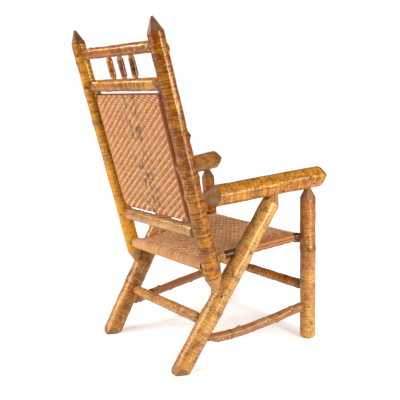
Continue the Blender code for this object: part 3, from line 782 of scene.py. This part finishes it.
# %% Splint materials
SPLINT_RELIEF, SPLINT_BUMP = 0.0003, 0.5
SPLINT_SPECULAR = 0.2
SPLINT_SMOOTH, SPLINT_ROUGH = 0.40, 0.60
STAIN_GREY = colour(92, 70, 62)
SPLINT_FIBRES = Pattern(1, 3, 0.6, (900, 900, 14), levels=(0.5, 0.8), most=0.35)
BLOTCHES = Pattern(30, levels=(0.4, 0.8), most=0.4)
ROLL_DEEP = 0.2
# Painted shade: the levels at which a strand's border and its dip start to darken, and how dark each gets.
BORDER_SHADE = (0.60, 1.0, 0.65)
DIP_SHADE = (0.1, 0.6, 0.85)
STRAND_VALUES = ("tint", "roll", "across", "dip", "wet")
SPLINT_LOOK = ("Pale", "Deep", "Edge And Shade", "Shade Colour", "Shade Amount")

tree, given, made = new_group("wood_splint", {
    "Grain": VECTOR, **{name.title(): VALUE for name in STRAND_VALUES},
    **dict(zip(SPLINT_LOOK, (COLOUR, COLOUR, COLOUR, COLOUR, VALUE)))})
splint_group, grain = tree, given["Grain"]
shade = arithmetic(tree, "ADD", given["Tint"], marks(tree, grain, BLOTCHES))
shade = arithmetic(tree, "ADD", shade, marks(tree, grain, SPLINT_FIBRES))
base = blended(tree, mask(tree, shade), given["Pale"], given["Deep"])
base = blended(tree, given["Wet"], base, STAIN_GREY)
# Rolled edges turn to the edge colour. On the back this is a dark painted shade all round the edges. On the
# seat it is an orange edge colour whose share, a painted shade, grows towards the underside.
rolled = blended(tree, mask(tree, shade, most=ROLL_DEEP), given["Edge And Shade"], given["Deep"])
base = blended(tree, given["Roll"], base, rolled)
# Painted shade in the gaps between strands and in the dips where a strand passes under another.
border = arithmetic(tree, "ABSOLUTE", given["Across"], 0.0)
gap_shade = arithmetic(tree, "ADD", mask(tree, border, *BORDER_SHADE), mask(tree, given["Dip"], *DIP_SHADE))
gap_shade = arithmetic(tree, "MULTIPLY", mask(tree, gap_shade), given["Shade Amount"])
fibres = cloud(tree, grain, SPLINT_FIBRES)
fill(tree, made, {"Color": blended(tree, gap_shade, base, given["Shade Colour"]), "Height": fibres,
                  "Roughness": mask(tree, fibres, most=SPLINT_ROUGH, least=SPLINT_SMOOTH)})


def splint_material(name, look):
    """Woven splint with a tint for each strand."""
    material, tree, shader = new_material(name)
    strand = attributes(tree, "grain", *STRAND_VALUES)
    splint = add_node(tree, "Group", {**strand, **dict(zip(SPLINT_LOOK, look))}, node_tree=splint_group)
    fill(tree, shader, {"Base Color": splint["Color"], "Roughness": splint["Roughness"],
                        "Specular IOR Level": SPLINT_SPECULAR,
                        "Normal": bump(tree, splint["Height"], SPLINT_RELIEF, SPLINT_BUMP)})
    return material


# Each look: pale, deep, the rolled-edge colour (painted shade on the back), the colour of the painted shade
# in gaps and dips, and how strong that painted shade is.
SPLINTS = {
    "back_splint": (colour(250, 196, 138), colour(184, 110, 60), colour(150, 80, 34),
                    colour(84, 38, 16), 0.75),
    "seat_splint": (colour(254, 204, 148), colour(174, 102, 54), colour(244, 186, 122),
                    colour(84, 42, 20), 0.55),
}
FINISH.update({name: splint_material(name, look) for name, look in SPLINTS.items()})
print("splint materials ready")

# %% [markdown]
# ## Weaving
# Each mat is a two-over, two-under twill with a strand for every line that the picture shows. A bump map
# would look flat at the edges, so each strand is a real ribbon: a closed loop that runs along the top,
# turns round the rail, comes back along the underside and turns again. It rises where it passes over a
# crossing strand and dips where it passes under. No modelling tool weaves, so the loop is made point by
# point, from a row of stations.

# %% Stations along a strand
TURN_STATIONS = 6
TWILL_LIFT = 0.0009
TWILL_OVER, TWILL_REPEAT = 2, 4


# A mat has the places of its strands, functions for its middle surface and half thickness, the way it
# faces, a test for where it is woven, the slant of its twill, and how much its rolled edges turn to the
# edge colour, a painted shade.
Mat = namedtuple("Mat", "columns rows middle half facing is_woven slant roll_shade")
# A station is one place on a strand. It has the way it faces, and the pitch of the strands there.
Station = namedtuple("Station", "point outward roll dip pitch")


def lifted(spot, outward, lift=0.0, roll=0.0, dip=0.0):
    """A station that stands out from the middle of a mat by half its thickness and a lift."""
    middle, half, pitch = spot
    return Station(middle + outward * (half + lift * TWILL_LIFT), outward, roll, dip, pitch)


def turned(facing, away, turn):
    """A direction part of the way round an edge, from the facing one over the one that leads away."""
    return facing * math.cos(turn) + square_to(away, facing) * math.sin(turn)


def twill_sign(mat, column, row, face):
    """1 where the row strand passes over the column strand, seen from outside on that face."""
    return 1 if (column + mat.slant * face * row) % TWILL_REPEAT < TWILL_OVER else -1


def runs_of(flags):
    """First and last index of each unbroken run of true flags."""
    steps = np.diff([0, *map(int, flags), 0])
    return list(zip(np.flatnonzero(steps == 1).tolist(), (np.flatnonzero(steps == -1) - 1).tolist()))


def loop_stations(mat, place, marks, ends, signs):
    """Stations of one strand: over the facing side, round, back underneath and round again."""
    stations = []
    inner = place((ends[0] + ends[1]) / 2)[0]
    for face, end in ((1, ends[1]), (-1, ends[0])):
        facing = mat.facing * face
        run = np.array([marks, signs[face]]).T[::face]
        dense = np.repeat(run, 2, axis=0)[:-1]
        dense[1::2] = (run[1:] + run[:-1]) / 2
        stations += [lifted(place(mark), facing, lift, dip=(1 - lift) / 2) for mark, lift in dense.tolist()]
        edge = place(end)
        for step in range(TURN_STATIONS + 1):
            outward = turned(facing, edge[0] - inner, math.pi * step / TURN_STATIONS)
            stations.append(lifted(edge, outward, roll=mat.roll_shade(outward.dot(mat.facing))))
    return stations


def strand_loops(mat, along_rows):
    """Stations of every row strand, or of every column strand."""
    lines, marks = (mat.rows, mat.columns) if along_rows else (mat.columns, mat.rows)
    step, half_line = marks[1] - marks[0], (lines[1] - lines[0]) / 2
    over = 1 if along_rows else -1
    loops = []

    def ordered(mark, line):
        return (mark, line) if along_rows else (line, mark)

    for line_index, line in enumerate(lines):
        def place(mark):
            low, at, high = (ordered(mark, line + shift) for shift in (-half_line, 0, half_line))
            return mat.middle(*at), mat.half(*at), (mat.middle(*high) - mat.middle(*low)).length

        crossings = [ordered(index, line_index) for index in range(len(marks))]
        for first, last in runs_of(mat.is_woven(*crossing) for crossing in crossings):
            if last > first:
                signs = {face: [over * twill_sign(mat, *crossing, face)
                                for crossing in crossings[first:last + 1]] for face in (1, -1)}
                ends = (marks[first] - step / 2, marks[last] + step / 2)
                loops.append(loop_stations(mat, place, marks[first:last + 1], ends, signs))
    return loops


print("loom ready")

# %% [markdown]
# A ribbon has four corners at each station, two on its outer face and two on its inner one. All strands
# that run the same way become one piece, and each strand draws its own tint.

# %% Ribbons
SPLINT_THICKNESS = 0.0009
CORNER_SIDES = np.array([1, -1, -1, 1])
STRAND_SHIFT = 0.13
TINT_SPREAD = 0.3


def ribbon(stations, cover, is_loop):
    """Corner points of a ribbon along its stations; cover is its share of the pitch."""
    points = np.array([station.point for station in stations])
    out = np.array([station.outward for station in stations])
    width = cover * np.array([station.pitch for station in stations])
    before = np.roll(points, 1, axis=0)
    ahead = np.roll(points, -1, axis=0) - before if is_loop else np.gradient(points, axis=0)
    side = np.cross(ahead, out)
    side *= (width / 2 / np.linalg.norm(side, axis=1))[:, None]
    thick = out * SPLINT_THICKNESS / 2
    corners = np.stack([points + side + thick, points - side + thick,
                        points - side - thick, points + side - thick], axis=1)
    return corners.reshape(-1, 3), np.cumsum(np.linalg.norm(points - before, axis=1))


def ribbon_faces(count, is_loop):
    """Quads round a ribbon, and over its two ends where it is no loop."""
    station, corner = np.meshgrid(np.arange(count if is_loop else count - 1), np.arange(4), indexing="ij")
    after, beside = (station + 1) % count, (corner + 1) % 4
    pairs = ((station, corner), (after, corner), (after, beside), (station, beside))
    quads = np.stack([row * 4 + column for row, column in pairs], axis=-1).reshape(-1, 4)
    if is_loop:
        return quads
    last = 4 * (count - 1)
    return np.concatenate([quads, [[0, 1, 2, 3], [last + 3, last + 2, last + 1, last]]])


def weave(name, strands, cover, seed, base_shade=0.0, wetness=None, is_loop=True):
    """One piece from many strands; each strand is a list of stations."""
    chance = random.Random(seed)
    corners, faces, grain, tint = [], [], [], []
    for index, stations in enumerate(strands):
        points, along = ribbon(stations, cover, is_loop)
        faces.append(ribbon_faces(len(stations), is_loop) + 4 * len(tint))
        corners.append(points)
        tint += [base_shade + chance.uniform(0.0, TINT_SPREAD)] * len(stations)
        across = CORNER_SIDES * stations[0].pitch * cover / 2
        lengthwise, sideways = np.meshgrid(along, across, indexing="ij")
        layer = np.full_like(sideways, index * STRAND_SHIFT)
        grain.append(np.stack([sideways, layer, lengthwise], axis=-1).reshape(-1, 3))
    mesh = bpy.data.meshes.new(name)
    mesh.from_pydata(np.concatenate(corners).tolist(), [], np.concatenate(faces).tolist())
    every = sum(strands, [])
    wet = [wetness(station.point) if wetness else 0.0 for station in every]
    store(mesh, grain=np.concatenate(grain), tint=np.repeat(tint, 4), wet=np.repeat(wet, 4),
          roll=np.repeat([station.roll for station in every], 4),
          dip=np.repeat([station.dip for station in every], 4), across=np.tile(CORNER_SIDES, len(every)))
    print(name, len(strands), "strands,", len(mesh.polygons) * 2, "triangles")
    return new_object(name, mesh)


def weave_mat(mat, node, names, finish, cover, seed, column_shade, wetness=None):
    """A mat's row strands and its column strands, as two pieces."""
    for name, along_rows, shade in zip(names, (True, False), (0.0, column_shade)):
        strands = strand_loops(mat, along_rows)
        piece = weave(f"{node}_{name}_splints", strands, cover, seed + along_rows, shade, wetness)
        dress(piece, finish, node)


def spaced(low, high, pitch):
    """Strand places between two limits, half a step in from each."""
    count = round((high - low) / pitch)
    return [low + (high - low) * (index + 0.5) / count for index in range(count)]


print("ribbons ready")

# %% [markdown]
# ## The woven back
# The back is a flat sleeve round two stiles. Its frame comes from the CAD: the stiles give its lean and
# its width, and the CAD mat gives where it starts and ends. The level strands are narrower than the
# upright ones, which makes the twill's diagonal steeper. Water has left a band of stains on its rear face.

# %% Weave the back
BACK_COLUMN_PITCH, BACK_ROW_PITCH = 0.0085, 0.0058
BACK_COVER = 0.92
BACK_UPRIGHT_SHADE = 0.5
BACK_SEED = 11
STAIN_PLACE, STAIN_SPREAD = -0.012, 0.050
STAIN_SIZE = (0.014, 0.026)
STAIN_MOST, STAIN_GAIN, STAIN_START = 0.85, 4, 0.3
MAT_SKIN = 0.0016
EDGE_HALF, EDGE_REACH = 0.004, 0.030
ACROSS = Vector((1, 0, 0))

stile_low, stile_high = axis_from("left_back_stile", UP)
lean = (stile_high - stile_low).normalized()
back_facing = lean.cross(ACROSS)
back_points = node_points("woven_back") - np.array(stile_low)
along_lean = back_points @ np.array(lean)
back_low, back_high = float(along_lean.min()) + EDGE_HALF, float(along_lean.max()) - EDGE_HALF
back_half = float(np.abs(back_points @ np.array(back_facing)).max()) - MAT_SKIN


def back_middle(across, up):
    """A point on the middle plane of the back."""
    return Vector((across, stile_low.y, stile_low.z)) + lean * up


def back_thickness(across, up):
    """Half thickness of the back, which closes to a thin edge above and below."""
    near = min(max(min(up - back_low, back_high - up) / EDGE_REACH, 0), 1)
    return EDGE_HALF + (back_half - EDGE_HALF) * math.sin(near * math.pi / 2)


def back_wetness(point):
    """How far water has stained a place on the back, from 0 to 1: drips in a band down its rear face."""
    if (point - stile_low).dot(back_facing) < 0:
        return 0.0
    up = (point - stile_low).dot(lean)
    drops = noise.noise(Vector((point.x / STAIN_SIZE[0], up / STAIN_SIZE[1], 0)))
    off_band = (point.x - STAIN_PLACE) / STAIN_SPREAD
    return STAIN_MOST * min(max(drops * STAIN_GAIN - STAIN_START, 0), 1) * math.exp(-off_band ** 2)


back_columns = spaced(-stile_low.x, stile_low.x, BACK_COLUMN_PITCH)
back_rows = spaced(back_low, back_high, BACK_ROW_PITCH)
# The back's rolled edges take the whole dark edge colour, a painted shade.
back_mat = Mat(back_columns, back_rows, back_middle, back_thickness, back_facing,
               lambda column, row: True, 1, lambda level: 1.0)
weave_mat(back_mat, "woven_back", ("level", "upright"), "back_splint", BACK_COVER, BACK_SEED,
          BACK_UPRIGHT_SHADE, back_wetness)

# %% [markdown]
# ## The woven seat
# The seat stretches between four rails at four different heights, so its surface is blended: on each edge
# it keeps that rail's own height, and between them it passes smoothly from one to the next. Strands leave
# the corners bare, and they stop short of the rear legs, which pass close by the side rails.

# %% The seat's surface
ROLL_RADIUS = {"right_seat_rail": 0.0162, "left_seat_rail": 0.0190, "front_seat_rail": 0.0170,
               "rear_seat_rail": 0.0205}

seat_axes = {name: log_ends(name) for name in ROLL_RADIUS}
side_rails = {-1: "right_seat_rail", 1: "left_seat_rail"}
end_rails = {-1: "front_seat_rail", 1: "rear_seat_rail"}


def plan_crossing(first, second):
    """Where two rail axes cross when seen from above."""
    (a, b), (c, d) = seat_axes[first], seat_axes[second]
    system = np.array([[b.x - a.x, c.x - d.x], [b.y - a.y, c.y - d.y]])
    share = np.linalg.solve(system, [c.x - a.x, c.y - a.y])[0]
    return Vector((a.x + (b.x - a.x) * share, a.y + (b.y - a.y) * share, 0))


def rail_height(rail, point):
    """Height of a rail's axis nearest to a place in plan."""
    start, end = seat_axes[rail]
    run = end - start
    flat = Vector((run.x, run.y, 0))
    return start.z + run.z * (point - start).dot(flat) / flat.length_squared


corners = {(u, v): plan_crossing(side_rails[u], end_rails[v]) for u in (-1, 1) for v in (-1, 1)}


def seat_plan(u, v):
    """Place in plan, by the four corners."""
    front, rear = (corners[-1, end].lerp(corners[1, end], (u + 1) / 2) for end in (-1, 1))
    return front.lerp(rear, (v + 1) / 2)


def seat_blend(u, v, value):
    """Blend a value of the four rails so that each rail holds its own edge."""
    u, v = min(max(u, -1), 1), min(max(v, -1), 1)
    point = seat_plan(u, v)
    sides, ends = (value(rails[-1], point) * (1 - share) / 2 + value(rails[1], point) * (1 + share) / 2
                   for rails, share in ((side_rails, u), (end_rails, v)))
    near_side, near_end = 1 - abs(u), 1 - abs(v)
    total = near_side + near_end
    return ends if total == 0 else (sides * near_end + ends * near_side) / total


def seat_middle(u, v):
    """A point on the seat's middle surface."""
    point = seat_plan(u, v)
    return Vector((point.x, point.y, seat_blend(u, v, rail_height)))


def seat_half(u, v):
    """Half of the seat's thickness."""
    return seat_blend(u, v, lambda rail, point: ROLL_RADIUS[rail])


print("seat corners", {key: [round(c, 3) for c in value[:2]] for key, value in corners.items()})

# %% Weave the seat
SEAT_PITCH = 0.0100
SEAT_COVER = 0.9
SEAT_LONG_SHADE = 0.4
SEAT_SEED = 21
POST_REACH = 0.0184
SEAT_BARE = {-1: (0.040, 0.062), 1: (0.016, 0.032)}
LEG_CLEARANCE_FRONT, LEG_CLEARANCE_REAR, LEG_CLEARANCE_SIDE = 0.004, 0.036, 0.004

seat_front, seat_rear = seat_plan(0, -1), seat_plan(0, 1)
seat_width = (seat_plan(1, 0) - seat_plan(-1, 0)).length
rear_width = (corners[1, 1] - corners[-1, 1]).length
outer = 1 - 2 * (POST_REACH - SEAT_PITCH / 2) / rear_width
column_step = 2 * SEAT_PITCH / rear_width
outside = [outer + column_step * (step + 0.5) for step in range(int((1 - outer) / column_step))]
seat_columns = [-place for place in outside[::-1]] + spaced(-outer, outer, column_step) + outside
seat_rows = spaced(-1, 1, 2 * SEAT_PITCH / (seat_rear - seat_front).length)


def leg_zone(side):
    """Rows near a rear leg, as limits of v, and how far in the leg reaches, as a limit of u."""
    start, end = axis_from(f"{side}_rear_leg", UP)
    level = seat_middle(1 if side == "left" else -1, 0).z
    spot = start.lerp(end, (level - start.z) / (end.z - start.z))
    slope = (end.y - start.y) / (end - start).length
    reach = REAR_LEG_RADIUS[side] / math.sqrt(1 - slope ** 2)
    limits = (spot.y - reach - LEG_CLEARANCE_FRONT, spot.y + reach + LEG_CLEARANCE_REAR)
    low, high = ((limit - seat_front.y) / (seat_rear.y - seat_front.y) * 2 - 1 for limit in limits)
    return low, high, (abs(spot.x) - REAR_LEG_RADIUS[side] - LEG_CLEARANCE_SIDE) / (seat_width / 2)


leg_zones = {-1: leg_zone("right"), 1: leg_zone("left")}


def seat_is_woven(column, row):
    """False at the bare corners and beside the rear legs."""
    u, v = seat_columns[column], seat_rows[row]
    side, end = (1 if u > 0 else -1), (1 if v > 0 else -1)
    bare_end, bare_side = SEAT_BARE[end]
    point, corner = seat_plan(u, v), corners[side, end]
    if abs(point.x - corner.x) < bare_end and abs(point.y - corner.y) < bare_side:
        return False
    low, high, inner = leg_zones[side]
    return not (low < v < high and abs(u) > inner)


# The seat's rolled edges take more of the edge colour the further they face down, a painted shade.
seat_mat = Mat(seat_columns, seat_rows, seat_middle, seat_half, UP, seat_is_woven, -1,
               lambda level: (1 - level) / 2)
weave_mat(seat_mat, "woven_seat", ("cross", "long"), "seat_splint", SEAT_COVER, SEAT_SEED, SEAT_LONG_SHADE)
print("leg zones", leg_zones)

# %% [markdown]
# Round the side rails a few more strands run along each rail on its outer face, over four and under one of
# the strands that wrap it. They are no loops, so each ends by dipping under its last wrap.

# %% Strands along the side rails
ROLL_STRANDS = 4
ROLL_START, ROLL_SPARE = 0.7, 0.6
ROLL_REPEAT, ROLL_STAGGER = 5, 2
ROLL_PITCH = 0.0105
ROLL_COVER = 1.0
ROLL_SHADE = 0.8
ROLL_MARK = 0.2
ROLL_SEED = 25


def roll_station(side, v, turn, lift):
    """A station on the outer face of a side rail's wrapping, turned down from the top."""
    middle = seat_middle(side, v)
    outward = turned(UP, middle - seat_middle(0, v), turn)
    return lifted((middle, seat_half(side, v), ROLL_PITCH), outward, lift, ROLL_MARK)


roll_strands = []
for side, edge in ((-1, 0), (1, len(seat_columns) - 1)):
    for first, last in runs_of(seat_is_woven(edge, row) for row in range(len(seat_rows))):
        for strand in range(ROLL_STRANDS):
            turn = math.pi * (strand + ROLL_START) / (ROLL_STRANDS + ROLL_SPARE)
            rows = range(first, last + 1)
            lifts = [1 if (row + strand * ROLL_STAGGER) % ROLL_REPEAT else -1 for row in rows]
            lifts[0] = lifts[-1] = -1
            roll_strands.append([roll_station(side, seat_rows[row], turn, lift)
                                 for row, lift in zip(rows, lifts)])
piece = weave("woven_seat_rail_splints", roll_strands, ROLL_COVER, ROLL_SEED, ROLL_SHADE, is_loop=False)
dress(piece, "seat_splint", "woven_seat")

# %% [markdown]
# ## Nails
# Each main joint is pinned by an iron nail with a small, round, slightly domed head. A nail starts as a
# cylinder. Its lower face is inset and drawn out to a shank, and its upper face is inset and raised. Each
# is as long as its CAD nail and is set along that nail's axis.

# %% Iron and nails
IRON, RUST = colour(58, 52, 50), colour(84, 48, 30)
RUST_SPOTS = Pattern(900, levels=(0.4, 0.7))
IRON_SMOOTH, IRON_ROUGH = 0.38, 0.7
IRON_METALLIC = 0.85

FINISH["nail_iron"], tree, shader = new_material("nail_iron")
rust = marks(tree, add_node(tree, "TexCoord", {})["Object"], RUST_SPOTS)
fill(tree, shader, {"Base Color": blended(tree, rust, IRON, RUST), "Metallic": IRON_METALLIC,
                    "Roughness": mask(tree, rust, most=IRON_ROUGH, least=IRON_SMOOTH)})
print("iron ready")

# %% Model the nails
NAIL_SHANK = 0.0015
NAIL_HEAD = 0.0033
NAIL_HEAD_THICKNESS = 0.0009
NAIL_DOME, DOME_STEPS = 0.0005, 3
NAIL_SIDES = 16


def select_end(piece, way):
    """Select only the faces that look one way along Z."""
    bpy.ops.mesh.select_all(action="DESELECT")
    for face in bmesh.from_edit_mesh(piece.data).faces:
        face.select_set(face.normal.z * way > END_FACE_LEVEL)
    bmesh.update_edit_mesh(piece.data)


def new_nail(name, length):
    """A nail along Z with its head's underside at the origin."""
    nail = new_cylinder(name, NAIL_HEAD, 0, NAIL_HEAD_THICKNESS, NAIL_SIDES)
    mode("EDIT")
    bpy.ops.mesh.select_mode(type="FACE")
    select_end(nail, -1)
    bpy.ops.mesh.inset(thickness=NAIL_HEAD - NAIL_SHANK)
    bpy.ops.mesh.extrude_region_move(TRANSFORM_OT_translate={"value": (0, 0, -length)})
    select_end(nail, 1)
    for step in range(DOME_STEPS):
        bpy.ops.mesh.inset(thickness=NAIL_HEAD / (DOME_STEPS + 1))
        bpy.ops.transform.translate(value=(0, 0, NAIL_DOME / (step + 1)))
    mode("OBJECT")
    bpy.ops.object.shade_smooth_by_angle(angle=SMOOTH_ANGLE)
    return nail


def head_last(node):
    """A CAD nail's axis, from its point to its head, which is the wider end."""
    points, ends = node_points(node), log_ends(node)
    along = np.array((ends[1] - ends[0]).normalized())

    def width(end):
        off = points - np.array(end)
        near = np.linalg.norm(off, axis=1) < 2 * NAIL_HEAD
        return np.linalg.norm(np.cross(off[near], along), axis=1).max()

    return sorted(ends, key=width)


nail_nodes = sorted(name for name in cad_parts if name.startswith("nail_"))
for node in nail_nodes:
    point, head = head_last(node)
    nail = new_nail(node + "_iron", (head - point).length - NAIL_HEAD_THICKNESS)
    under_head = head - (head - point).normalized() * NAIL_HEAD_THICKNESS
    turn = (head - point).to_track_quat("Z", "Y").to_matrix().to_4x4()
    nail.data.transform(Matrix.Translation(under_head) @ turn)
    dress(nail, "nail_iron", node)
print(len(nail_nodes), "nails")

# %% [markdown]
# ## The studio
# The chair stands on a wide white floor in a white room. The varnish mirrors both only dimly, and less so
# on the side behind the camera, so that the bark stays deep. Narrow lamps draw the long highlights, with
# one lamp for the arm and one for the spindles, broad lamps give the light, and the world fills a little.
# The floor is plain white paper that also glows for the camera, more so further out, so that it meets the
# white background without a line but still keeps the chair's soft shadow.

# %% Floor and world
WHITE = (1, 1, 1, 1)
PAPER_WHITE, PAPER_ROUGHNESS = (0.95, 0.95, 0.95, 1), 0.9
FLOOR_HALF = 15.0
FLOOR_GLOW = 0.45
FLOOR_FADE = (0.7, 2.2)
WORLD_LIGHT = 0.08
BACKDROP_WAY = (0.78, -0.62, 0.0)
MIRRORED_WHITE = 0.12
ROOM_EDGE = (-0.2, 0.7)
FLOOR_EDGE = (-0.8, 0.6)


def seen_level(tree, place, edge, fill):
    """1 where it is seen straight or through glass, less where mirrored, and its fill light elsewhere."""
    rays = add_node(tree, "LightPath", {})
    side = add_node(tree, "VectorMath", {0: place, 1: BACKDROP_WAY}, operation="DOT_PRODUCT")["Value"]
    hidden = mixed(tree, rays["Is Glossy Ray"], fill, mask(tree, side, *edge, MIRRORED_WHITE))
    straight = arithmetic(tree, "MAXIMUM", rays["Is Camera Ray"], rays["Is Transmission Ray"])
    return mixed(tree, straight, hidden, 1.0)


bpy.ops.object.select_all(action="DESELECT")
bpy.ops.mesh.primitive_plane_add(size=2 * FLOOR_HALF)
floor = bpy.context.object
floor.name = "studio_floor"
material, tree, shader = new_material("white_paper")
fill(tree, shader, {"Base Color": PAPER_WHITE, "Roughness": PAPER_ROUGHNESS})
place = add_node(tree, "TexCoord", {})["Object"]
distance = add_node(tree, "VectorMath", {0: place}, operation="LENGTH")["Value"]
fade = mask(tree, distance, *FLOOR_FADE, 1.0, FLOOR_GLOW)
amount = arithmetic(tree, "MULTIPLY", seen_level(tree, place, FLOOR_EDGE, 0.0), fade)
glow = add_node(tree, "Emission", {"Color": WHITE, "Strength": amount})[0]
paper = add_node(tree, "AddShader", {0: tree.nodes["Principled BSDF"].outputs[0], 1: glow})[0]
fill(tree, tree.nodes["Material Output"].inputs, {"Surface": paper})
floor.data.materials.append(material)

world = bpy.data.worlds.new("white_room")
bpy.context.scene.world = world
world.use_nodes = True
tree = world.node_tree
way = add_node(tree, "TexCoord", {})["Generated"]
fill(tree, tree.nodes["Background"].inputs, {
    "Color": WHITE, "Strength": seen_level(tree, way, ROOM_EDGE, WORLD_LIGHT)})
print("floor and world ready")

# %% Lamps
CHAIR_MIDDLE = Vector((0, 0, 0.5))
LAMPS = {
    "right_strip": ((-2.2, -0.05, 0.9), (0.20, 1.9), 22),
    "arm_lamp": ((-1.9, -0.55, 0.83), (0.7, 0.18), 12),
    "spindle_lamp": ((-1.5, -1.2, 1.14), (0.14, 0.3), 3),
    "right_softbox": ((-2.4, -0.6, 1.3), (0.7, 1.6), 2),
    "left_strip": ((1.5, 1.25, 1.95), (0.35, 0.5), 16),
    "left_softbox": ((0.8, 2.3, 1.4), (2.0, 2.0), 52),
    "top_softbox": ((-0.2, 0.2, 2.7), (1.2, 1.2), 26),
}

for name, (place, size, power) in LAMPS.items():
    lamp = new_object(name, bpy.data.lights.new(name, "AREA"))
    lamp.data.shape = "RECTANGLE"
    lamp.data.size, lamp.data.size_y = size
    lamp.data.energy = power
    lamp.location = place
    lamp.rotation_mode = "QUATERNION"
    lamp.rotation_quaternion = (CHAIR_MIDDLE - Vector(place)).to_track_quat("-Z", "Y")
print(len(LAMPS), "lamps")
